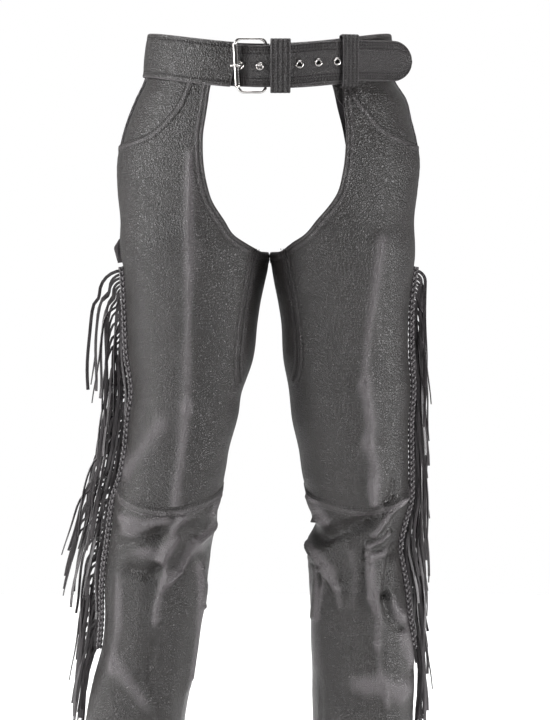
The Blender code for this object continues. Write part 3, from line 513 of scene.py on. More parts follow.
def flesh_side():
    """Flesh side of the hide, buffed to a short suede nap: matt, with a soft sheen at grazing angles."""
    made, tree, shader = new_material("suede_flesh_side")
    place = add(tree, "ShaderNodeTexCoord").outputs["Object"]
    nap = add(tree, "ShaderNodeTexNoise", {"Vector": place, "Scale": 900.0, "Detail": 5.0, "Roughness": 0.7})
    cloud = add(tree, "ShaderNodeTexNoise", {"Vector": place, "Scale": 22.0, "Detail": 3.0})
    tree.links.new(ramp(tree, cloud.outputs["Fac"], (0.3, "#242123"), (0.7, "#373336")),
                   shader.inputs["Base Color"])
    shader.inputs["Roughness"].default_value = 0.9
    shader.inputs["Sheen Weight"].default_value = 0.25
    bump = add(tree, "ShaderNodeBump", {"Height": nap.outputs["Fac"], "Strength": 0.5, "Distance": 0.0005})
    tree.links.new(bump.outputs["Normal"], shader.inputs["Normal"])
    return made


def lace_leather():
    """Smooth lace leather, cut into strands: satin face, darker than the panels, streaked along its length."""
    made, tree, shader = new_material("cut_lace_leather")
    place = add(tree, "ShaderNodeTexCoord").outputs["Object"]
    longer = add(tree, "ShaderNodeMapping", {"Vector": place, "Scale": (1.0, 1.0, 0.12)})
    streak = add(tree, "ShaderNodeTexNoise", {"Vector": longer.outputs["Vector"], "Scale": 420.0, "Detail": 3.0})
    skin = add(tree, "ShaderNodeTexNoise", {"Vector": place, "Scale": 700.0, "Detail": 3.0})
    tree.links.new(ramp(tree, streak.outputs["Fac"], (0.3, "#242123"), (0.72, "#4a4648")),
                   shader.inputs["Base Color"])
    gloss = add(tree, "ShaderNodeMapRange", {"Value": streak.outputs["Fac"], "To Min": 0.3, "To Max": 0.52})
    tree.links.new(gloss.outputs["Result"], shader.inputs["Roughness"])
    bump = add(tree, "ShaderNodeBump", {"Height": skin.outputs["Fac"], "Strength": 0.35, "Distance": 0.0003})
    tree.links.new(bump.outputs["Normal"], shader.inputs["Normal"])
    return made


def bonded_thread():
    """Bonded nylon thread: twisted plies with a waxy gloss."""
    made, tree, shader = new_material("bonded_nylon_thread")
    place = add(tree, "ShaderNodeTexCoord").outputs["Object"]
    ply = add(tree, "ShaderNodeTexWave", {"Vector": place, "Scale": 900.0, "Distortion": 1.0},
              wave_type="BANDS", bands_direction="DIAGONAL")
    tree.links.new(ramp(tree, ply.outputs["Fac"], (0.2, "#161415"), (0.8, "#343031")), shader.inputs["Base Color"])
    shader.inputs["Roughness"].default_value = 0.4
    bump = add(tree, "ShaderNodeBump", {"Height": ply.outputs["Fac"], "Strength": 0.4, "Distance": 0.0001})
    tree.links.new(bump.outputs["Normal"], shader.inputs["Normal"])
    return made


def nickel_plate():
    """Nickel-plated steel wire: bright, with fine handling scratches that blur it in patches."""
    made, tree, shader = new_material("polished_nickel_plate")
    place = add(tree, "ShaderNodeTexCoord").outputs["Object"]
    thin = add(tree, "ShaderNodeMapping", {"Vector": place, "Scale": (1.0, 1.0, 7.0)})
    scratch = add(tree, "ShaderNodeTexNoise", {"Vector": thin.outputs["Vector"], "Scale": 500.0, "Detail": 4.0})
    cloud = add(tree, "ShaderNodeTexNoise", {"Vector": place, "Scale": 90.0, "Detail": 3.0})
    tree.links.new(ramp(tree, cloud.outputs["Fac"], (0.3, "#a8a5a3"), (0.7, "#cac7c5")),
                   shader.inputs["Base Color"])
    gloss = add(tree, "ShaderNodeMapRange", {"Value": scratch.outputs["Fac"], "To Min": 0.1, "To Max": 0.26})
    tree.links.new(gloss.outputs["Result"], shader.inputs["Roughness"])
    shader.inputs["Metallic"].default_value = 1.0
    bump = add(tree, "ShaderNodeBump", {"Height": scratch.outputs["Fac"], "Strength": 0.12, "Distance": 0.0001})
    tree.links.new(bump.outputs["Normal"], shader.inputs["Normal"])
    return made


CHAP_LEATHER = cowhide("pebbled_black_cowhide", "#171312", "#252120", 0.38, 3.2, 0.5)
BELT_LEATHER = cowhide("smooth_black_belt_leather", "#1e1a1b", "#292425", 0.44, 2.0, 0.2)
SUEDE = flesh_side()
LACE = lace_leather()
THREAD = bonded_thread()
NICKEL = nickel_plate()


# Meshes
def mesh_object(name, points, faces, materials, sharp=40.0, wear=None, slots=None):
    """Mesh object of points in millimetres. A closed one whose faces point inwards is turned."""
    points = np.asarray(points, float) * MM
    mesh = bpy.data.meshes.new(name)
    sizes = np.array([len(f) for f in faces]) if isinstance(faces, list) else np.full(len(faces), faces.shape[1])
    loops = np.concatenate([np.asarray(f) for f in faces]) if isinstance(faces, list) else faces.reshape(-1)
    starts = np.concatenate([[0], np.cumsum(sizes)[:-1]])
    mesh.vertices.add(len(points))
    mesh.vertices.foreach_set("co", points.reshape(-1))
    mesh.loops.add(len(loops))
    mesh.loops.foreach_set("vertex_index", loops.astype(np.int32))
    mesh.polygons.add(len(sizes))
    mesh.polygons.foreach_set("loop_start", starts.astype(np.int32))
    mesh.polygons.foreach_set("loop_total", sizes.astype(np.int32))
    mesh.update(calc_edges=True)
    mesh.validate()
    mesh.calc_loop_triangles()
    corners = np.zeros(len(mesh.loop_triangles) * 3, np.int32)
    mesh.loop_triangles.foreach_get("vertices", corners)
    a, b, c = points[corners.reshape(-1, 3)].transpose(1, 0, 2)
    if np.einsum("ij,ij->i", a, np.cross(b, c)).sum() < 0:
        mesh.flip_normals()
    for finish in materials:
        mesh.materials.append(finish)
    if slots is not None:
        mesh.polygons.foreach_set("material_index", np.asarray(slots, np.int32))
    if wear is not None:
        mesh.attributes.new("wear", "FLOAT", "POINT").data.foreach_set("value", np.asarray(wear, np.float32))
    mesh.shade_smooth()
    mesh.set_sharp_from_angle(angle=radians(sharp))
    made = bpy.data.objects.new(name, mesh)
    bpy.context.scene.collection.objects.link(made)
    return made


def grid_faces(rows, columns, start=0, around=False):
    """Quads of a grid of points, row after row. Around joins the last column to the first."""
    index = start + np.arange(rows * columns).reshape(rows, columns)
    if around:
        index = np.concatenate([index, index[:, :1]], axis=1)
    quads = np.stack([index[:-1, :-1], index[:-1, 1:], index[1:, 1:], index[1:, :-1]], -1)
    return quads.reshape(-1, 4)


def wall_mesh(name, outer, inner, materials, wear=None, sharp=40.0):
    """Closed wall between an outer and an inner grid. The inner side has the last material."""
    rows, columns = outer.shape[:2]
    count = rows * columns
    index = np.arange(count).reshape(rows, columns)
    front = grid_faces(rows, columns)
    back = front[:, [0, 3, 2, 1]] + count
    rim = np.concatenate([index[0, :-1], index[:-1, -1], index[-1, :0:-1], index[:0:-1, 0]])
    after = np.roll(rim, -1)
    edge = np.stack([after, rim, rim + count, after + count], -1)
    faces = np.concatenate([front, back, edge])
    slots = np.zeros(len(faces), int)
    slots[len(front):2 * len(front)] = len(materials) - 1
    values = np.zeros(2 * count)
    if wear is not None:
        values[:count] = wear.reshape(-1)
        # The rims take the paler colour: worn edges and a painted highlight
        values[rim] = 0.7
        values[rim + count] = 0.7
    points = np.concatenate([outer.reshape(-1, 3), inner.reshape(-1, 3)])
    return mesh_object(name, points, faces, materials, sharp, values, slots)


def tube_mesh(path, radius, sides=16, closed=False, flat=(0.0, 0.0, 1.0)):
    """Points and faces of a round wire along a path. The ends of an open one are domed."""
    path = np.asarray(path, float)
    radius = np.broadcast_to(radius, len(path)).astype(float)
    before, after = np.roll(path, 1, 0), np.roll(path, -1, 0)
    if not closed:
        before[0], after[-1] = path[0], path[-1]
    along = after - before
    along /= np.linalg.norm(along, axis=1, keepdims=True)
    side = np.cross(along, np.asarray(flat, float))
    side /= np.linalg.norm(side, axis=1, keepdims=True)
    other = np.cross(along, side)
    if not closed:
        dome = np.sin(np.linspace(0.12, pi / 2, 4))
        drop = 1 - np.cos(np.linspace(0.12, pi / 2, 4))
        head = [path[0] - along[0] * radius[0] * (1 - d) for d in drop[:-1]]
        tail = [path[-1] + along[-1] * radius[-1] * (1 - d) for d in drop[:-1]]
        path = np.concatenate([head, path, tail[::-1]])
        radius = np.concatenate([radius[0] * dome[:-1], radius, radius[-1] * dome[-2::-1]])
        side = np.concatenate([np.repeat(side[:1], 3, 0), side, np.repeat(side[-1:], 3, 0)])
        other = np.concatenate([np.repeat(other[:1], 3, 0), other, np.repeat(other[-1:], 3, 0)])
    turn = np.arange(sides) * 2 * pi / sides
    ring = np.cos(turn)[None, :, None] * side[:, None] + np.sin(turn)[None, :, None] * other[:, None]
    points = (path[:, None] + radius[:, None, None] * ring).reshape(-1, 3)
    faces = grid_faces(len(path), sides, around=True).tolist()
    if closed:
        last = (len(path) - 1) * sides
        faces += [(last + k, last + (k + 1) % sides, (k + 1) % sides, k) for k in range(sides)]
    else:
        faces += [tuple(range(sides))[::-1], tuple(range((len(path) - 1) * sides, len(path) * sides))]
    return points, faces


# Sewing
stitches = {}             # lists of (middle, direction along, direction out) by the piece that they are joined in


def polyline(points, pitch):
    """Points at an even pitch along a line, and the share of each between its neighbours."""
    step = np.linalg.norm(np.diff(points, axis=0), axis=1)
    length = np.concatenate([[0.0], np.cumsum(step)])
    count = max(2, int(length[-1] // pitch) + 1)
    at = (length[-1] - (count - 1) * pitch) / 2 + np.arange(count) * pitch
    return np.stack([np.interp(at, length, points[:, k]) for k in range(3)], -1)


def sew(group, points, normals, pitch=STITCH_PITCH):
    """One row of stitches along a line on a surface."""
    if len(points) < 2 or np.linalg.norm(np.diff(points, axis=0), axis=1).sum() < 2 * pitch:
        return
    middles = polyline(points, pitch)
    outs = polyline_values(points, normals, middles)
    along = np.gradient(middles, axis=0)
    along /= np.linalg.norm(along, axis=1, keepdims=True)
    outs -= along * (outs * along).sum(1, keepdims=True)
    outs /= np.linalg.norm(outs, axis=1, keepdims=True)
    stitches.setdefault(group, []).append((middles, along, outs))


def polyline_values(points, values, at):
    """Values of the nearest point of the line."""
    near = np.linalg.norm(at[:, None] - points[None], axis=2).argmin(1)
    return values[near].copy()


def stitch_piece(name, group):
    """All stitches of a group: each is a bent capsule whose ends go down into the leather."""
    middles, along, outs = (np.concatenate(part) for part in zip(*stitches[group]))
    across = np.cross(along, outs)
    sides = 5
    turn = np.arange(sides) * 2 * pi / sides
    stations = [(-0.5, 0.45, -0.55), (-0.34, 0.95, 0.02), (0.34, 0.95, 0.02), (0.5, 0.45, -0.55)]
    rings = []
    for share, fat, rise in stations:
        middle = middles + along * share * STITCH_LENGTH + outs * STITCH_RADIUS * rise
        ring = (np.cos(turn)[None, :, None] * across[:, None] + np.sin(turn)[None, :, None] * outs[:, None])
        rings.append(middle[:, None] + ring * STITCH_RADIUS * fat)
    points = np.stack(rings, 1)
    count = len(middles)
    block = len(stations) * sides
    one = grid_faces(len(stations), sides, around=True)
    quads = (one[None] + block * np.arange(count)[:, None, None]).reshape(-1, 4)
    caps = np.array([list(range(sides))[::-1], list(range(block - sides, block))])
    ends = (caps[None] + block * np.arange(count)[:, None, None]).reshape(-1, sides)
    return mesh_object(name, points.reshape(-1, 3), quads.tolist() + ends.tolist(), [THREAD], 60.0)


# Panels
# How an edge is finished: width and height of the lap along it, and the distances of its rows of stitches
FACING = (12.3, 1.0, (5.0, 11.5))
MOUTH = (9.6, 1.3, (2.0, 8.8))
SIDE = (0.0, 0.0, (3.0, 6.6))
LAP = (12.2, 1.1, (8.8, 11.4))
TOPSTITCH = (9.5, 0.5, (2.6, 9.0))
TUCKED = (0.0, -0.5, ())
PLAIN = (0.0, 0.0, ())


def distance_to(line, p):
    """Distance of each point from a line of points, and how far along the line it is nearest."""
    flat = p.reshape(-1, 3)
    near = np.full(len(flat), 1e9)
    place = np.zeros(len(flat))
    done = 0.0
    for a, b in zip(line[:-1], line[1:]):
        length = np.linalg.norm(b - a)
        t = np.clip((flat - a) @ (b - a) / max(length ** 2, 1e-9), 0, 1)
        d = np.linalg.norm(flat - a - t[:, None] * (b - a), axis=1)
        closer = d < near
        near[closer] = d[closer]
        place[closer] = (done + t * length)[closer]
        done += length
    return near.reshape(p.shape[:-1]), place.reshape(p.shape[:-1])


def thin(line, pitch=5.0):
    """Fewer points of a line, about a pitch apart."""
    step = np.linalg.norm(np.diff(line, axis=0), axis=1)
    length = np.concatenate([[0.0], np.cumsum(step)])
    at = np.linspace(0, length[-1], max(2, int(length[-1] / pitch) + 1))
    return np.stack([np.interp(at, length, line[:, k]) for k in range(3)], -1)


def lift_by(edges, p):
    """Relief near the sewn edges: the lap stands up, each row of stitches pulls a groove with puckers."""
    total = np.zeros(p.shape[:-1])
    for line, (width, height, rows) in edges:
        d, s = distance_to(line, p)
        if width > 0:
            total = np.maximum(total, height * smooth((width + 0.8 - d) / 1.6))
        else:
            total += height * np.exp(-(d / 4.0) ** 2)
    for line, (width, height, rows) in edges:
        d, s = distance_to(line, p)
        for row in rows:
            total -= 0.75 * np.exp(-((d - row) / 1.1) ** 2)
        if rows:
            total += 0.16 * np.sin(s * 2 * pi / 13.0 + 2.0 * np.sin(s / 31.0)) * np.exp(-((d - rows[-1]) / 7.0) ** 2)
        total -= 0.5 * (1 - np.clip(d / 0.9, 0, 1)) ** 2
    return total


def painted_groove_shade(edges, p):
    """How deep in a groove each point lies, from 0 to 1: in the rows of stitches and at the folded edges. It sets the
    painted shade there.
    """
    total = np.zeros(p.shape[:-1])
    for line, (width, height, rows) in edges:
        d = distance_to(line, p)[0]
        for row in rows:
            total = np.maximum(total, 0.5 * np.exp(-((d - row) / 0.7) ** 2))
        total = np.maximum(total, np.exp(-(d / 0.8) ** 2))
    return total


def columns_of(leg, heights, start, end, middle):
    """Angles of a panel's columns: at fixed distances beside both edges and evenly between them."""
    fan = start[:, None] + (end - start)[:, None] * np.linspace(0, 1, 161)
    z = heights[:, None] + seam_shift(fan, heights[:, None])
    p = leg.plain(fan, z)
    step = np.linalg.norm(np.diff(p, axis=1), axis=2)
    length = np.concatenate([np.zeros((len(step), 1)), np.cumsum(step, axis=1)], axis=1)
    whole = length[:, -1:]
    near = NEAR * np.minimum(1, 0.45 * whole / NEAR[-1])
    t = np.linspace(0, 1, middle + 2)[1:-1]
    between = near[:, -1:] + (whole - 2 * near[:, -1:]) * t
    place = np.concatenate([near, between, whole - near[:, ::-1]], axis=1)
    return np.stack([np.interp(a, b, c) for a, b, c in zip(place, length, fan)])


def spaced(*stops):
    """Heights from stop to stop: height, step, height, step and so on to the last height."""
    out = []
    for a, step, b in zip(stops[0::2], stops[1::2], stops[2::2]):
        out.append(np.linspace(a, b, max(1, round(abs(b - a) / step)), endpoint=False))
    return np.concatenate(out + [[stops[-1]]])


class Panel:
    """Leather panel over a leg: rows of height, each from its start angle to its end angle."""

    def __init__(self, name, node, leg, heights, start, end, middle, edges, off=0.0, thick=LEATHER,
                 dip=0.0):
        self.leg, self.off, self.name = leg, off, name
        angle = columns_of(leg, heights, np.asarray(start, float), np.asarray(end, float), middle)
        z = heights[:, None] + seam_shift(angle, heights[:, None])
        z = z - dip * np.linspace(0, 1, z.shape[1]) * smooth(1.0 - (heights[0] - heights[:, None]) / 60.0)
        self.base = leg.folded(angle, z)
        self.normal = leg.normal(angle, z, True)
        self.heights = heights
        self.edges = []
        for border, low, high, finish in edges:
            self.edges.append((self.border(border, low, high), finish))
        self.seams = [(thin(line), finish) for line, finish in self.edges]
        lift = lift_by(self.seams, self.base)
        crest = leg.fold_height(self.base, angle)
        # Paler on fold crests and raised laps, partly worn leather and partly a painted highlight; the grooves of the
        # sewing and the folded edges get painted shade
        wear = np.clip((crest - 1.0) / 4.0, 0, 0.8) + np.clip(lift, 0, 1) * 0.3
        wear = np.where(painted_groove_shade(self.seams, self.base) > 0.05, -painted_groove_shade(self.seams, self.base), wear)
        outer = self.base + self.normal * (off + lift)[..., None]
        inner = self.base + self.normal * (off - thick)
        self.object = wall_mesh(name, leg.out(outer), leg.out(inner), [CHAP_LEATHER, SUEDE], wear)
        self.node = node

    def border(self, which, low, high):
        """Part of the panel's border between two heights, as points on its surface."""
        keep = (self.heights <= high) & (self.heights >= low)
        if which == "start":
            return self.base[keep, 0]
        if which == "end":
            return self.base[keep, -1]
        return self.base[-1 if which == "foot" else 0]

    def sew_edges(self, group):
        """Rows of stitches beside the finished edges, each moved in from its edge over the surface."""
        middle = self.base[len(self.base) // 2, self.base.shape[1] // 2]
        for line, (width, height, rows) in self.edges:
            dense = thin(line, 3.0)
            along = np.gradient(dense, axis=0)
            along /= np.linalg.norm(along, axis=1, keepdims=True)
            angle = self.leg.angle_at(dense)
            out = self.leg.normal(angle, dense[:, 2])
            inward = np.cross(along, out)
            inward /= np.linalg.norm(inward, axis=1, keepdims=True)
            probe = distance_to(thin(self.base[:, self.base.shape[1] // 2]), dense + inward * 4)[0]
            other = distance_to(thin(self.base[:, self.base.shape[1] // 2]), dense - inward * 4)[0]
            if which_way(self, line) is not None:
                aim = which_way(self, line)
                sign = np.sign((inward * aim).sum(1).mean())
            else:
                sign = np.sign((other - probe).mean())
            for row in rows:
                self.sew_line(group, dense + inward * row * sign)

    def sew_line(self, group, places):
        """Stitches along places near the surface, put down on it."""
        angle, z = self.leg.angle_at(places), places[:, 2]
        base = self.leg.folded(angle, z)
        normal = self.leg.normal(angle, z, True)
        lift = lift_by(self.seams, base)
        points = base + normal * (self.off + lift + 0.12)[:, None]
        sew(group, self.leg.out(points), self.leg.out(normal))


def which_way(panel, line):
    """Direction from a border line into the panel, from its grid."""
    base = panel.base
    k = 8
    if np.allclose(line[0], base[-1, 0]) and np.allclose(line[-1], base[-1, -1]):
        return np.array([0.0, 0.0, 1.0])
    if np.allclose(line[0], base[0, 0]) and np.allclose(line[-1], base[0, -1]):
        return np.array([0.0, 0.0, -1.0])
    row = int(np.linalg.norm(base[:, 0] - line[0], axis=1).argmin())
    if np.linalg.norm(base[row, 0] - line[0]) < 1e-6:
        return base[row, k] - base[row, 0]
    return base[row, -k - 1] - base[row, -1]


panels = []


def leg_panels(leg, word, front_edge, inner_seam, pocket):
    """All leather panels of one leg with their sewing."""
    side_gap = 0.12       # degrees, half of the free space along a seam
    group = "leg_" + word
    front_edge, inner_seam = np.array(front_edge, float), np.array(inner_seam, float)
    pocket, seat = np.array(pocket, float), np.array(SEAT_EDGE, float)

    def edge_angle(table, z, front=True):
        """Angle of an edge at these heights, on a smooth curve through its table."""
        x = curve_through(table[:, ::-1], [1], np.clip(z, table[-1, 1], table[0, 1]))[..., 0]
        return leg.angle_of(x, z, front)

    def inner_seam_angle(z):
        """The seam of the inner thigh panel, which turns in to the inseam at its foot."""
        foot, point = -436.0, -448.0
        along = edge_angle(inner_seam, np.maximum(z, foot))
        return along + (180.0 - along) * np.clip((foot - z) / (foot - point), 0, 1)

    rows = spaced(-20, 3, -70, 2, -104, 1.2, -124, 3.4, -190, 2.2, -257, 3.4, -430, 2.0, -450, 3.4, -576,
                  1.1, KNEE_Z + GAP / 2)
    start = np.maximum(np.where(rows >= -121, edge_angle(pocket, rows), side_gap), side_gap)
    end = np.where(rows >= -257, edge_angle(front_edge, rows), np.minimum(inner_seam_angle(rows), 180) - side_gap)
    front = Panel(f"front_thigh_leather_{word}", f"front_thigh_{word}", leg, rows, start, end, 60,
                  [("end", -257, -20, FACING), ("start", -120, -20, MOUTH), ("start", -594, -122, SIDE),
                   ("end", -436, -258, TOPSTITCH), ("foot", 0, 0, LAP)])

    rows = spaced(-257, 3, -436, 1.0, -444)
    inner = Panel(f"inner_thigh_leather_{word}", f"inner_thigh_panel_{word}", leg, rows,
                  inner_seam_angle(rows) + side_gap, np.full(len(rows), 180 - side_gap), 8,
                  [("start", -436, -257, TOPSTITCH), ("top", 0, 0, FACING)], dip=11.0)

    rows = spaced(-20, 3.4, -212, 1.8, -284, 3.4, -576, 1.1, KNEE_Z + GAP / 2)
    end = np.where(rows >= -280, edge_angle(seat, rows, False), -180 + side_gap)
    back = Panel(f"back_thigh_leather_{word}", f"back_thigh_{word}", leg, rows, np.full(len(rows), -side_gap), end, 36,
                 [("end", -280, -20, FACING), ("foot", 0, 0, LAP), ("start", -594, -20, SIDE)])

    rows = spaced(KNEE_Z - GAP / 2, 1.6, -606, 2.3, -750, 3.4, HEM_Z + 26, 1.8, HEM_Z)
    ones = np.ones(len(rows))
    calf = Panel(f"front_calf_leather_{word}", f"front_calf_{word}", leg, rows, side_gap * ones, (180 - side_gap) * ones,
                 80, [("top", 0, 0, TUCKED), ("start", -1004, -594, SIDE), ("foot", 0, 0, (14.5, 0.6, (13.6,)))])
    shin = Panel(f"back_calf_leather_{word}", f"back_calf_{word}", leg, rows, -side_gap * ones, (side_gap - 180) * ones,
                 34, [("top", 0, 0, TUCKED), ("start", -1004, -594, SIDE), ("foot", 0, 0, (14.5, 0.6, (13.6,)))])

    rows = spaced(-20, 2.6, -134)
    past_mouth = 9.0      # degrees that it runs on behind the front
    end = np.where(rows >= -121, edge_angle(pocket, np.maximum(rows, -118)) + past_mouth, 14.0)
    lining = Panel(f"pocket_backing_leather_{word}", f"pocket_backing_{word}", leg, rows, np.full(len(rows), side_gap),
                   end, 24, [("start", -134, -20, SIDE)], off=-LEATHER - 2.6, thick=1.2)
    for panel in (front, inner, back, calf, shin, lining):
        panel.sew_edges(group)
        panels.append(panel)


leg_panels(RIGHT, "right", RIGHT_FRONT_EDGE, RIGHT_INNER_SEAM, RIGHT_POCKET)
leg_panels(LEFT, "left", LEFT_FRONT_EDGE, LEFT_INNER_SEAM, LEFT_POCKET)


def outer_side(leg, z):
    """Distance of the leg's outer side from the middle."""
    return curve_through(leg.rings, [1], np.asarray(z, float))[..., 0]


def braid(leg, word):
    """Plait of three flat laces. Each runs from side to side and over and under, a third of a turn apart."""
    half_width, rise, turn_length = 2.7, 1.35, 23.0
    z = np.arange(FRINGE_TOP + 3, FRINGE_BOTTOM - 6, -0.95)
    t = 2 * pi * z / turn_length + 0.25 * np.sin(z / 41.0)
    x = outer_side(leg, z) + 3.4 + 0.3 * np.sin(z / 33.0)
    across, face = np.array([0.93, 0.37]), np.array([0.37, -0.93])
    points, faces = [], []
    for k in range(3):
        phase = t + k * 2 * pi / 3
        wide, over = half_width * np.sin(phase), rise * np.sin(2 * phase)
        middle = np.stack([x + across[0] * wide + face[0] * over, -9.0 + across[1] * wide + face[1] * over, z], -1)
        along = np.gradient(middle, axis=0)
        along /= np.linalg.norm(along, axis=1, keepdims=True)
        front = np.broadcast_to(np.array([face[0], face[1], 0.0]), along.shape)
        side = np.cross(along, front)
        side /= np.linalg.norm(side, axis=1, keepdims=True)
        section = [(-2.0, -0.1), (-1.75, 0.5), (-0.9, 0.95), (0.0, 1.1), (0.9, 0.95), (1.75, 0.5), (2.0, -0.1),
                   (1.5, -0.6), (-1.5, -0.6)]
        ring = np.stack([middle + side * a + front * b for a, b in section], 1)
        n = len(section)
        base = k * len(z) * n
        faces += grid_faces(len(z), n, base, around=True).tolist()
        faces += [tuple(base + i for i in range(n))[::-1], tuple(base + (len(z) - 1) * n + i for i in range(n))]
        points.append(ring.reshape(-1, 3))
    return mesh_object(f"plaited_trim_{word}", leg.out(np.concatenate(points)), faces, [LACE], 50.0)


def uneven(i, seed):
    """Even spread of values from -1 to 1 that follows no visible order."""
    return 2.0 * np.modf(np.abs(np.sin(np.asarray(i) * 12.9898 + seed * 78.233) * 43758.5453))[0] - 1.0


# Where the strands end, by the height of their root: distance of the outermost end from the middle and its height
RIGHT_ENDS = [
    # root z, x, z
    (-287, 250, -440), (-330, 236, -474), (-370, 232, -520), (-420, 238, -566), (-480, 252, -612), (-540, 274, -660),
    (-590, 290, -700), (-620, 288, -740), (-660, 268, -786), (-700, 270, -832), (-740, 274, -880), (-806, 276, -940)]
LEFT_ENDS = [
    # root z, x, z
    (-287, 212, -436), (-330, 216, -476), (-370, 218, -520), (-420, 217, -566), (-480, 219, -632), (-540, 223, -690),
    (-590, 221, -740), (-640, 221, -790), (-700, 221, -850), (-750, 220, -900), (-806, 219, -950)]


def fringe(leg, word):
    """Strands cut from one strip. Each leaves it sideways in an arc, bends over and hangs with the others."""
    pitch = (FRINGE_TOP - FRINGE_BOTTOM) / STRANDS
    i = np.arange(STRANDS)
    root = FRINGE_TOP - pitch * (i + 0.5)
    face = TRIM_OFF + LEATHER
    ends = curve_through(RIGHT_ENDS if leg is RIGHT else LEFT_ENDS, [1, 2], root)
    lane = (i * 7 % 10) / 9.0                  # how far out of the bundle a strand hangs
    lane[:5] = (1.0, 0.86, 0.95, 0.6, 0.75)    # the first ones swing out over the rest
    depth = ((i * 3 % 7) / 3.0 - 1.0)          # its layer from front to back
    drop = (root - ends[:, 1]) * (1.0 + 0.07 * uneven(i, 2))
    first = [24.0, 13.0, 11.0, 6.0, 3.0] if leg is RIGHT else [7.0, 5.0, 4.0, 2.0, 1.0]
    arc = 7.0 + 2.0 * uneven(i, 8) + np.array(first + [0.0] * (STRANDS - 5))
    rows = []
    share = np.concatenate([np.linspace(0, 1, 7)[:-1] * 0.0, np.linspace(0, 1, 13) ** 1.25])
    for k in range(len(share)):
        if k < 6:                              # quarter arc out of the strip
            a = k / 6.0 * pi / 2
            out, down = arc * np.sin(a), arc * (1 - np.cos(a))
        else:
            t = share[k]
            down = arc + (drop - arc) * t
            reach = 0.62 * (1 - np.exp(-t / 0.09)) + 0.38 * t
            start = outer_side(leg, root) + face + arc
            goal = np.maximum(outer_side(leg, root - drop) + 6.0, ends[:, 0])
            near = outer_side(leg, root - down) + 5.0
            far = np.maximum(start + (goal - start) * reach, near + 2.0)
            out = near + (far - near) * (0.12 + 0.88 * lane) ** 0.8
            blend = smooth(t / 0.12)
            out = start * (1 - blend) + out * blend - outer_side(leg, root) - face
            out += t * (3.5 * uneven(i, 12) + 2.5 * np.sin(down / 23.0 + 6.0 * uneven(i, 13)))
        z = root - down
        x = outer_side(leg, root) + face + out
        x = np.maximum(x, outer_side(leg, z) + 4.0)
        t = down / drop
        y = 1.0 + depth * 8.0 * smooth(t / 0.5) + 2.5 * uneven(i, 5) * t
        rows.append(np.stack([x, y, z], -1))
    path = np.stack(rows, 1)
    fine = path.shape[1]
    along = np.gradient(path, axis=1)
    along /= np.linalg.norm(along, axis=2, keepdims=True)
    first = np.cross(along, np.array([0.0, 1.0, 0.0]))
    first /= np.linalg.norm(first, axis=2, keepdims=True)
    second = np.cross(along, first)
    # The width lies up and down at the root. Most strands then turn their flat side to the front, some their edge
    way = np.linspace(0, 1, fine)[None] ** 0.9
    twist = way * np.where(i % 5 == 2, 1.5, 0.5 * uneven(i, 9))[:, None]
    side = first * np.cos(twist)[..., None] + second * np.sin(twist)[..., None]
    front = np.cross(along, side)
    wide = STRAND_WIDTH / 2 * (1.0 + 0.12 * uneven(i, 15))
    wide[0] = 2.2
    ring = np.stack([path + side * a * wide[:, None, None] + front * b
                     for a, b in ((-1, -0.6), (-1, 0.6), (0, 0.75), (1, 0.6), (1, -0.6))], 2)
    sides = ring.shape[2]
    count = fine * sides
    one = grid_faces(fine, sides, around=True)
    quads = (one[None] + count * i[:, None, None]).reshape(-1, 4)
    caps = np.array([list(range(sides))[::-1], list(range(count - sides, count))])
    ends = (caps[None] + count * i[:, None, None]).reshape(-1, sides)
    # The strip that carries the roots, with its uncut margin
    z = np.linspace(FRINGE_TOP, FRINGE_BOTTOM, 120)
    x = outer_side(leg, z)
    strip = np.stack([np.stack([x + a, np.full_like(z, b), z], -1) for a, b in
                      ((face + 2.0, 0.4), (face + 2.0, 1.6), (face, 2.6), (TRIM_OFF, 2.6), (TRIM_OFF, -0.6),
                       (face, -0.6))], 1)
    base = STRANDS * count
    backing = grid_faces(len(z), 6, base, around=True)
    last = base + len(z) * 6
    closing = [tuple(range(base, base + 6))[::-1], tuple(range(last - 6, last))]
    points = np.concatenate([ring.reshape(-1, 3), strip.reshape(-1, 3)])
    faces = quads.tolist() + ends.tolist() + backing.tolist() + closing
    return mesh_object(f"cut_fringe_{word}", leg.out(points), faces, [LACE], 50.0)


braids = {"right": braid(RIGHT, "right"), "left": braid(LEFT, "left")}
fringes = {"right": fringe(RIGHT, "right"), "left": fringe(LEFT, "left")}


# Waistband
def band_face(v):
    """Relief across the waistband: rolled edges, a row of stitches inside each and a soft crown between."""
    edge = BAND_HEIGHT / 2 - np.abs(v)
    return (-1.1 * (1 - np.clip(edge / 2.4, 0, 1)) ** 2 - 0.5 * np.exp(-((edge - 6.4) / 1.1) ** 2)
            + 0.5 * smooth((edge - 7) / 9))


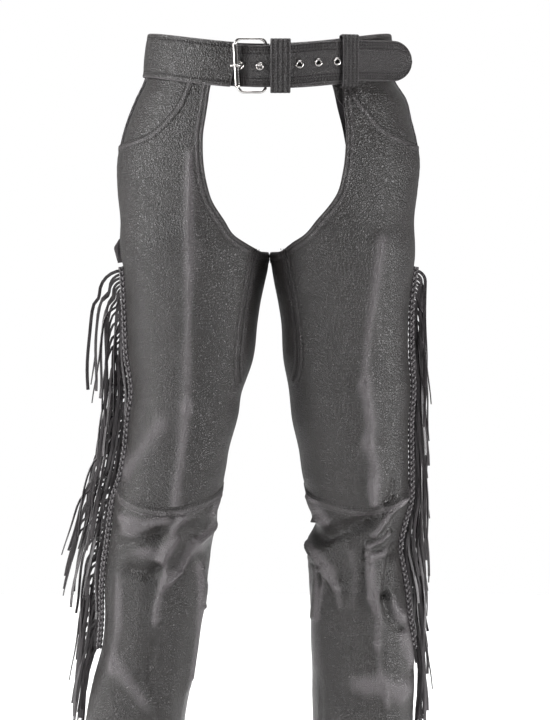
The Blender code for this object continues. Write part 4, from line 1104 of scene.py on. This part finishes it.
def waistband(name, word, leg, start, end):
    """Two layers of leather round the waist, just outside the panels that it holds."""
    angle = np.linspace(start, end, 150)
    v = np.concatenate([np.linspace(29, 18, 12), np.linspace(16.5, -16.5, 16), np.linspace(-18, -29, 12)])
    a, w = np.meshgrid(angle, v)
    z = band_middle(a) + w
    base, normal = leg.plain(a, z), leg.normal(a, z)
    ripple = 0.5 * lattice(base, (26, 26, 40), 21.0) * smooth((29 - np.abs(w)) / 10)
    reach = np.minimum(np.abs(a - start), np.abs(a - end)) * 2.2
    lift = band_face(w) + ripple - 0.6 * (1 - np.clip(reach / 1.2, 0, 1)) ** 2
    outer = base + normal * (GAP + BAND_WALL + lift)[..., None]
    inner = base + normal * GAP
    # Paler towards the rolled edges, worn and a painted highlight; painted shade in the rows of stitches
    wear = np.clip(0.6 - (29 - np.abs(w)) / 4, 0, 0.6) - 0.9 * np.exp(-((29 - np.abs(w) - 6.4) / 0.8) ** 2)
    made = wall_mesh(name, leg.out(outer), leg.out(inner), [CHAP_LEATHER, SUEDE], wear)
    for height in (22.6, -22.6):
        z = band_middle(angle) + height
        n = leg.normal(angle, z)
        p = leg.plain(angle, z) + n * (GAP + BAND_WALL - 0.3)
        sew("band", leg.out(p[2:-2]), leg.out(n[2:-2]))
    return made


bands = {
    "right": waistband("waistband_leather_right", "right", RIGHT, -89.9, float(RIGHT.angle_of(46.0, -16.0))),
    "left": waistband("waistband_leather_left", "left", LEFT, -89.9, float(LEFT.angle_of(21.0, -16.0)))}


# Belt
def belt_spots(x, off, z):
    """Points off the waist's leather at distances along X on its front."""
    x, off, z = np.broadcast_arrays(np.asarray(x, float), np.asarray(off, float), np.asarray(z, float))
    out = np.empty(x.shape + (3,))
    for leg, mask in ((RIGHT, x <= 0), (LEFT, x > 0)):
        if mask.any():
            angle = leg.angle_of(np.abs(x[mask]), z[mask])
            out[mask] = leg.out(leg.plain(angle, z[mask]) + leg.normal(angle, z[mask]) * off[mask][..., None])
    return out


def belt_normals(x, z):
    """Directions out of the waist's leather at distances along X."""
    p, q = belt_spots(x, 0.0, z), belt_spots(x, 1.0, z)
    return q - p


def belt_course(x):
    """Inner face of the strap and its middle height at distances along X."""
    read = curve_through(STRAP_COURSE, [1, 2], np.asarray(x, float))
    return read[..., 0], read[..., 1]


STRAP_ROWS = (3.4, 6.6, 10.6)      # three rows of stitches inside each edge


def strap_relief(edge):
    """Relief of the strap by distance from its edge."""
    total = -0.7 * (1 - np.clip(edge / 1.4, 0, 1)) ** 2
    for row in STRAP_ROWS:
        total = total - 0.3 * np.exp(-((edge - row) / 0.9) ** 2)
    return total


def belt_strap():
    """Strap from under the right end of the waistband to the pointed end, with its row of holes."""
    half = STRAP_HEIGHT / 2
    v = np.concatenate([np.linspace(27, 14, 15), np.linspace(12, -12, 13), np.linspace(-14, -27, 15)])
    x = np.linspace(-69, STRAP_LEAVES_X, 128)
    off, z = belt_course(x)
    relief = strap_relief(half - np.abs(v))
    outer = belt_spots(x[:, None], off[:, None] + STRAP_WALL + relief, z[:, None] + v)
    inner = belt_spots(x[:, None], off[:, None], z[:, None] + v)
    middle = len(v) // 2
    ahead = outer[-1, middle] - outer[-8, middle]
    ahead /= np.linalg.norm(ahead)
    t = np.concatenate([np.linspace(0.02, 0.62, 26), np.linspace(0.64, 1.0, 22) ** 1.0])
    from_point = np.minimum(1.0, (1.0 - t) * STRAP_TAIL / STRAP_POINT)
    narrow = np.maximum(np.sqrt(1.0 - (1.0 - from_point) ** 2), 0.04)
    step = ahead * (STRAP_TAIL * t)[:, None] - np.array([0.0, 0.0, 1.5]) * t[:, None]
    grids = []
    for grid in (outer, inner):
        start = grid[-1]
        tail = start[middle] + step[:, None] + (start - start[middle])[None] * narrow[:, None, None]
        grids.append(np.concatenate([grid, tail]))
    # Paler towards the edges, worn and a painted highlight; painted shade in the rows of stitches
    wear = np.clip(0.6 - (half - np.abs(v)) / 3, 0, 0.6)
    for row in STRAP_ROWS:
        wear = wear - 0.8 * np.exp(-((half - np.abs(v) - row) / 0.7) ** 2)
    wear = np.broadcast_to(wear, grids[0].shape[:2])
    strap = wall_mesh("belt_strap_leather", grids[0], grids[1], [BELT_LEATHER, SUEDE], wear)

    # Rows of stitches, which turn in with the pointed end
    for sign in (1, -1):
        for row in STRAP_ROWS:
            keep = np.interp(row, half - v[:middle + 1], np.arange(middle + 1))
            k = int(round(keep)) if sign > 0 else len(v) - 1 - int(round(keep))
            line = grids[0][14:, k]
            squeeze = (1 - narrow) * half
            inward = np.zeros_like(line)
            inward[-len(t):, 2] = 0.0
            normal = np.cross(np.gradient(line, axis=0), np.array([0.0, 0.0, 1.0]))
            normal /= np.linalg.norm(normal, axis=1, keepdims=True)
            normal *= np.sign((normal * np.array([0.0, -1.0, 0.0])).sum(1).mean())
            stop = len(line) - 10
            sew("belt", line[:stop] + normal[:stop] * 0.15, normal[:stop])

    points, faces, base = [], [], 0
    for i in range(len(EYELET_X)):
        at, out = eyelet_place(i)
        p, f = tube_mesh(np.stack([at - out * 6, at + out * 9]), STRAP_HOLE, 24, flat=(0.3, 0.1, 1.0))
        points.append(p)
        faces += [tuple(base + k for k in face) for face in f]
        base += len(p)
    cutter = mesh_object("hole_cutter", np.concatenate(points), faces, [SUEDE])
    cut = strap.modifiers.new("holes", "BOOLEAN")
    cut.operation = "DIFFERENCE"
    cut.solver = "EXACT"
    cut.object = cutter
    bpy.context.view_layer.update()
    holed = bpy.data.meshes.new_from_object(strap.evaluated_get(bpy.context.evaluated_depsgraph_get()))
    strap.modifiers.clear()
    strap.data = holed
    bpy.data.objects.remove(cutter, do_unlink=True)
    return strap


def eyelet_place(i):
    """Middle of an eyelet on the strap's outer face and the direction out of that face."""
    x = EYELET_X[i]
    (off, z) = belt_course(x)
    near, far = belt_course(x - 2.0)[0], belt_course(x + 2.0)[0]
    along = belt_spots(x + 2.0, far, z) - belt_spots(x - 2.0, near, z)
    up = belt_spots(x, off, z + STRAP_HEIGHT / 2) - belt_spots(x, off, z - STRAP_HEIGHT / 2)
    out = np.cross(along, up)
    out /= np.linalg.norm(out)
    return belt_spots(x, off, z) + out * STRAP_WALL, out


def eyelet(i):
    """Turned ring: a rolled flange on the strap's face and a barrel through the hole."""
    at, out = eyelet_place(i)
    roll = np.linspace(0, pi, 9)
    middle = (EYELET_OUTER + EYELET_HOLE) / 2
    profile = [(middle - (middle - EYELET_HOLE) * np.cos(a), EYELET_LIFT + 1.05 * np.sin(a) ** 0.8) for a in roll]
    profile += [(EYELET_OUTER - 0.4, EYELET_LIFT - 0.1), (EYELET_BARREL, EYELET_LIFT - 0.1),
                (EYELET_BARREL, -STRAP_WALL), (EYELET_HOLE, -STRAP_WALL)]
    profile = np.array(profile)
    sides = 36
    u = np.array([0.0, 0.0, 1.0])
    v = np.cross(out, u)
    turn = np.arange(sides) * 2 * pi / sides
    ray = np.cos(turn)[:, None] * u + np.sin(turn)[:, None] * v
    points = at + ray[:, None] * profile[None, :, :1] + out * profile[None, :, 1:]
    n = len(profile)
    index = np.arange(sides * n).reshape(sides, n)
    right, down = np.roll(index, -1, 1), np.roll(index, -1, 0)
    both = np.roll(down, -1, 1)
    faces = np.stack([index, down, both, right], -1).reshape(-1, 4)
    return mesh_object(f"turned_eyelet_{i + 1}", points.reshape(-1, 3), faces, [NICKEL], 50.0)


def keeper(name, node, x1, x2, middle, inside, outside, half, inner_end):
    """Loop over the strap, open behind the waistband: its section is followed from end to end."""
    r = 2.2

    def corner(z, off, first):
        """Quarter circle of the section."""
        a = np.radians(np.linspace(first, first + 90, 6))
        return [(z + r * np.sin(b), off - r * np.cos(b)) for b in a]

    line = [(z, inside) for z in np.linspace(inner_end, half - r - 1, 12)]
    line += corner(half - r, inside + r, 0)
    line += [(half, off) for off in np.linspace(inside + r + 1, outside - r - 1, 6)]
    line += [(half - r + r * np.cos(b), outside - r + r * np.sin(b)) for b in np.radians(np.linspace(0, 90, 6))]
    line += [(z, outside) for z in np.linspace(half - r - 1, -half + r + 1, 40)]
    line += [(-half + r - r * np.sin(b), outside - r + r * np.cos(b)) for b in np.radians(np.linspace(0, 90, 6))]
    line += [(-half, off) for off in np.linspace(outside - r - 1, 1.6, 8)]
    line = np.array(line)
    along = np.gradient(line, axis=0)
    along /= np.hypot(along[:, 0], along[:, 1])[:, None]
    across = np.stack([-along[:, 1], along[:, 0]], -1)
    x = np.linspace(x1, x2, 26)
    edge = np.minimum(x - x1, x2 - x)
    rows = keeper_rows(x1, x2)
    relief = -0.6 * (1 - np.clip(edge / 1.2, 0, 1)) ** 2
    for row in rows:
        relief = relief - 0.3 * np.exp(-((x - row) / 0.9) ** 2)
    out = -across * 0.9
    grids = []
    for sign, add_relief in ((1.0, 1.0), (-1.0, 0.0)):
        z = line[None, :, 0] + out[None, :, 0] * (sign + add_relief * relief[:, None] / 0.9)
        off = line[None, :, 1] + out[None, :, 1] * (sign + add_relief * relief[:, None] / 0.9)
        grids.append(belt_spots(np.broadcast_to(x[:, None], z.shape), off, z + middle))
    # Paler towards the edges, worn and a painted highlight; painted shade in the rows of stitches
    wear = np.clip(0.6 - edge / 2, 0, 0.6)
    for row in rows:
        wear = wear - 0.8 * np.exp(-((x - row) / 0.7) ** 2)
    wear = np.broadcast_to(wear[:, None], grids[0].shape[:2])
    made = wall_mesh(name, grids[0], grids[1], [BELT_LEATHER, SUEDE], wear)
    z = np.linspace(-half + 3, half - 3, 30) + middle
    for row in rows:
        p = belt_spots(np.full(30, row), outside + 0.9 - 0.12, z)
        sew("belt", p, belt_normals(np.full(30, row), z))
    return made


def keeper_rows(x1, x2):
    """Places of a keeper's four rows of stitches."""
    return x1 + (x2 - x1) * np.array([0.14, 0.38, 0.62, 0.86])


def buckle():
    """Frame of bent wire, its prong and the two folded straps that hold its pivot bar."""
    bar, pivot = belt_spots(BAR_X, BAR_OFF, -16.0)[:2], belt_spots(PIVOT_X, PIVOT_OFF, -16.0)[:2]
    bar_out = belt_spots(BAR_X, BAR_OFF + 1.0, -16.0)[:2] - bar
    lean, high, r = 2.0, BUCKLE_HALF_HEIGHT, BUCKLE_CORNER
    reach = np.hypot(*(pivot - bar))
    path = []
    for k, (t, z) in enumerate([(0.0, high), (1.0, high), (1.0, -high), (0.0, -high)]):
        start = 90 + 90 * ((1 - k) % 4)
        centre = np.array([t * reach + (r if t == 0 else -r), z + (-r if z > 0 else r)])
        a = np.radians(start - np.linspace(0, 90, 12))
        path.append(centre + r * np.stack([np.cos(a), np.sin(a)], -1))
    flat = np.concatenate(path)
    closed = np.concatenate([flat, flat[:1]])
    flat = thin(np.concatenate([closed, np.zeros((len(closed), 1))], 1), 0.6)[:-1, :2]
    middle_bulge = 1.6    # the rails curve with the waist
    t = flat[:, 0] / reach
    bulge = np.outer(np.sin(np.clip(t, 0, 1) * pi), bar_out) * middle_bulge
    places = bar[None] + t[:, None] * (pivot - bar)[None] + bulge
    shift = lean * (1 - np.clip(t, 0, 1)) * -flat[:, 1] / high
    ring = np.stack([places[:, 0] + shift, places[:, 1], BUCKLE_Z + flat[:, 1]], -1)
    # The sleeve on the bar is a thicker stretch of the wire with rounded ends
    upright = (flat[:, 0] < 1.0) & (np.abs(flat[:, 1]) < high - 6.0)
    edge = high - 6.5 - np.abs(flat[:, 1])
    thick = np.where(upright, WIRE + (ROLLER - WIRE) * np.sqrt(1 - (1 - np.clip(edge / 1.2, 0, 1)) ** 2), WIRE)
    points, faces = tube_mesh(ring, thick, 24, closed=True, flat=(0.0, -1.0, 0.0))
    wire = mesh_object("buckle_frame_wire", points, faces, [NICKEL], 40.0)

    hook = WIRE + GAP + PRONG
    route = []
    for turn in np.linspace(-200, 60, 27):
        a = radians(-90 - turn)
        route.append((PIVOT_X + hook * np.cos(a), PIVOT_OFF + hook * np.sin(a)))
    route = [p for p in route if not (p[0] < PIVOT_X - 1.0 and p[1] > PIVOT_OFF + 1.0)]
    route += [(-13.0, -1.2), (-24.0, -0.6), (-30.5, -0.6), (-33.6, 0.5), (-35.4, 1.9), (-36.7, 5.6), (-36.3, 8.0),
              (-37.2, 11.0), (-39.2, 12.6), (-42.0, 13.1), (-45.2, 12.3), (-47.6, 11.0)]
    route = np.array([(a, b, 0.0) for a, b in route])
    for _ in range(2):      # rounds the bends by cutting each corner twice
        cut = np.stack([route[:-1] * 0.75 + route[1:] * 0.25, route[:-1] * 0.25 + route[1:] * 0.75], 1).reshape(-1, 3)
        route = np.concatenate([route[:1], cut, route[-1:]])
    points = belt_spots(route[:, 0], route[:, 1], -16.0)
    points[:, 2] = -17.2
    points, faces = tube_mesh(points, PRONG, 14)
    prong = mesh_object("buckle_prong_wire", points, faces, [NICKEL], 60.0)

    fold = WIRE + GAP + 0.7
    chapes = []
    for name, low, high_z in (("buckle_chape_leather_upper", -14.2, 8.4), ("buckle_chape_leather_lower", -41.4, -20.2)):
        a = np.radians(90 + np.linspace(0, 180, 19))
        line = [(x, PIVOT_OFF + fold) for x in np.linspace(19, 0, 10)]
        line += list(zip(PIVOT_X + fold * np.cos(a), PIVOT_OFF + fold * np.sin(a)))
        line += [(x, PIVOT_OFF - fold) for x in np.linspace(0, 45, 20)]
        line = np.array(line)
        along = np.gradient(line, axis=0)
        along /= np.hypot(along[:, 0], along[:, 1])[:, None]
        across = np.stack([-along[:, 1], along[:, 0]], -1) * 0.6
        z = np.linspace(low, high_z, 12)
        grids = []
        for sign in (-1.0, 1.0):
            row = line + sign * across
            p = belt_spots(row[:, 0], row[:, 1], -16.0)
            grid = np.broadcast_to(p, (len(z),) + p.shape).copy()
            grid[..., 2] = z[:, None]
            grids.append(grid)
        chapes.append(wall_mesh(name, grids[0], grids[1], [BELT_LEATHER, SUEDE], np.zeros(grids[0].shape[:2])))
    return wire, prong, chapes


def tab():
    """Small pointed tab that stands out at the top of the right trim."""
    t = np.linspace(0, 1, 12)
    upper = np.stack([np.interp(t, [0, 0.5, 1], [-204.5, -212.0, -206.5]), np.interp(t, [0, 0.5, 1], [-246, -258, -279])], -1)
    lower = np.stack([np.interp(t, [0, 0.5, 1], [-202.8, -201.8, -199.8]), np.interp(t, [0, 0.5, 1], [-247, -264, -278])], -1)
    grids = []
    for y, swell in ((-6.0, -0.5), (-3.6, 0.0)):
        rows = [upper + (lower - upper) * s for s in np.linspace(0, 1, 5)]
        grids.append(np.stack([np.stack([r[:, 0], np.full(len(t), y) + swell * np.sin(pi * t) * np.sin(pi * s), r[:, 1]], -1)
                               for r, s in zip(rows, np.linspace(0, 1, 5))]))
    return wall_mesh("trim_tab_lace_right", grids[0], grids[1], [LACE, LACE], np.zeros(grids[0].shape[:2]))


strap = belt_strap()
eyelets = [eyelet(i) for i in range(len(EYELET_X))]
keepers = [keeper("belt_keeper_leather_1", "belt_keeper_1", 1.5, 27.0, -17.5, -5.6, 11.2, 34.0, 6.0),
           keeper("belt_keeper_leather_2", "belt_keeper_2", 92.0, 112.0, -11.0, -1.3, 9.4, 34.0, 3.0)]
wire, prong, chapes = buckle()
trim_tab = tab()
thread = {word: stitch_piece(f"stitching_{word}", f"leg_{word}") for word in ("right", "left")}
thread["band"] = stitch_piece("stitching_waistband", "band")
thread["belt"] = stitch_piece("stitching_belt", "belt")


# Pieces and the nodes that they stand for
def dress(piece, slot, *nodes):
    """A piece on the only body, and the nodes that it replaces, which are hidden. The slot is not used."""
    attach(piece, "root")
    if nodes:
        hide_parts(*nodes)


for panel in panels:
    dress(panel.object, "chap_leather", panel.node)
for word in ("right", "left"):
    dress(bands[word], "chap_leather", f"waistband_{word}")
    dress(braids[word], "fringe_leather", f"braid_trim_{word}")
    dress(fringes[word], "fringe_leather", f"fringe_{word}")
    dress(thread[word], "fringe_leather")
dress(trim_tab, "fringe_leather", "trim_tab_right")
dress(strap, "chap_leather", "belt_strap")
dress(thread["band"], "fringe_leather")
dress(thread["belt"], "fringe_leather")
for number, piece in enumerate(eyelets, 1):
    dress(piece, "chrome", f"eyelet_{number}")
for number, piece in enumerate(keepers, 1):
    dress(piece, "chap_leather", f"belt_keeper_{number}")
dress(wire, "chrome", "buckle_frame")
dress(prong, "chrome", "buckle_prong")
for piece, place in zip(chapes, ("upper", "lower")):
    dress(piece, "chap_leather", f"buckle_chape_{place}")

for panel in panels:
    word = panel.name.rsplit("_", 1)[1]


# Floor, light and camera
def studio():
    """White floor, a bright surround behind, two tall soft boxes at the sides and a light from above."""
    made, tree, shader = new_material("matt_white_floor")
    place = add(tree, "ShaderNodeTexCoord").outputs["Object"]
    cloud = add(tree, "ShaderNodeTexNoise", {"Vector": place, "Scale": 3.0, "Detail": 2.0})
    tree.links.new(ramp(tree, cloud.outputs["Fac"], (0.0, "#f4f4f4"), (1.0, "#fafafa")), shader.inputs["Base Color"])
    shader.inputs["Roughness"].default_value = 0.9
    shader.inputs["Specular IOR Level"].default_value = 0.1
    profile = np.array([(-2600, 0), (0, 0), (1500, 0)])
    x = np.array([-2600.0, 0.0, 2600.0])
    points = np.stack([np.broadcast_to(x, (len(profile), 3)), np.broadcast_to(profile[:, :1], (len(profile), 3)),
                       np.broadcast_to(profile[:, 1:] - 1045.0, (len(profile), 3))], -1)
    floor = mesh_object("studio_floor", points.reshape(-1, 3), grid_faces(len(profile), 3), [made])

    world = bpy.data.worlds.new("studio_surround")
    bpy.context.scene.world = world
    world.use_nodes = True
    tree = world.node_tree
    back = tree.nodes["Background"]
    # The paper sweep behind the piece is bright, and the room on the camera's side of it is dim
    turn = add(tree, "ShaderNodeTexCoord").outputs["Generated"]
    parts = add(tree, "ShaderNodeSeparateXYZ", {"Vector": turn})
    share = add(tree, "ShaderNodeMapRange", {"Value": parts.outputs["Y"], "From Min": -1.0, "From Max": 1.0})
    glow = ramp(tree, share.outputs["Result"], (0.0, 0.08), (0.42, 0.08), (0.62, 0.14), (1.0, 0.4))
    seen = add(tree, "ShaderNodeLightPath").outputs["Is Camera Ray"]
    colour = add(tree, "ShaderNodeMix", data_type="RGBA")
    tree.links.new(seen, colour.inputs[0])
    tree.links.new(glow, colour.inputs[6])
    colour.inputs[7].default_value = (1.0, 1.0, 1.0, 1.0)
    tree.links.new(colour.outputs[2], back.inputs["Color"])
    # place, aim, size, power in watts
    for name, place, aim, size, power in (
            ("soft_box_left", (-2.7, -0.45, 0.6), (0.0, 0.0, -0.15), (1.0, 1.6), 132.0),
            ("soft_box_low", (-1.9, -1.8, -1.15), (0.0, 0.0, -0.9), (0.8, 0.6), 72.0),
            ("soft_box_right", (2.5, -1.0, -0.8), (0.0, 0.0, -0.85), (1.0, 1.4), 122.0),
            ("soft_box_top", (0.1, 0.3, 2.3), (0.0, 0.2, -1.0), (3.0, 2.0), 150.0)):
        data = bpy.data.lights.new(name, "AREA")
        data.shape = "RECTANGLE"
        data.size, data.size_y = size
        data.energy = power
        lamp = bpy.data.objects.new(name, data)
        lamp.location = place
        lamp.rotation_euler = (Vector(aim) - Vector(place)).to_track_quat("-Z", "Y").to_euler()
        bpy.context.scene.collection.objects.link(lamp)

    data = bpy.data.cameras.new("camera")
    data.lens, data.sensor_width = 110.0, 36.0
    camera = bpy.data.objects.new("camera", data)
    camera.location = (0.0075, -3.0, -0.127)
    camera.rotation_euler = (Vector((0.0075, 0.0, -0.412)) - camera.location).to_track_quat("-Z", "Y").to_euler()
    bpy.context.scene.collection.objects.link(camera)
    bpy.context.scene.camera = camera
    bpy.context.scene.view_settings.view_transform = "Standard"


studio()
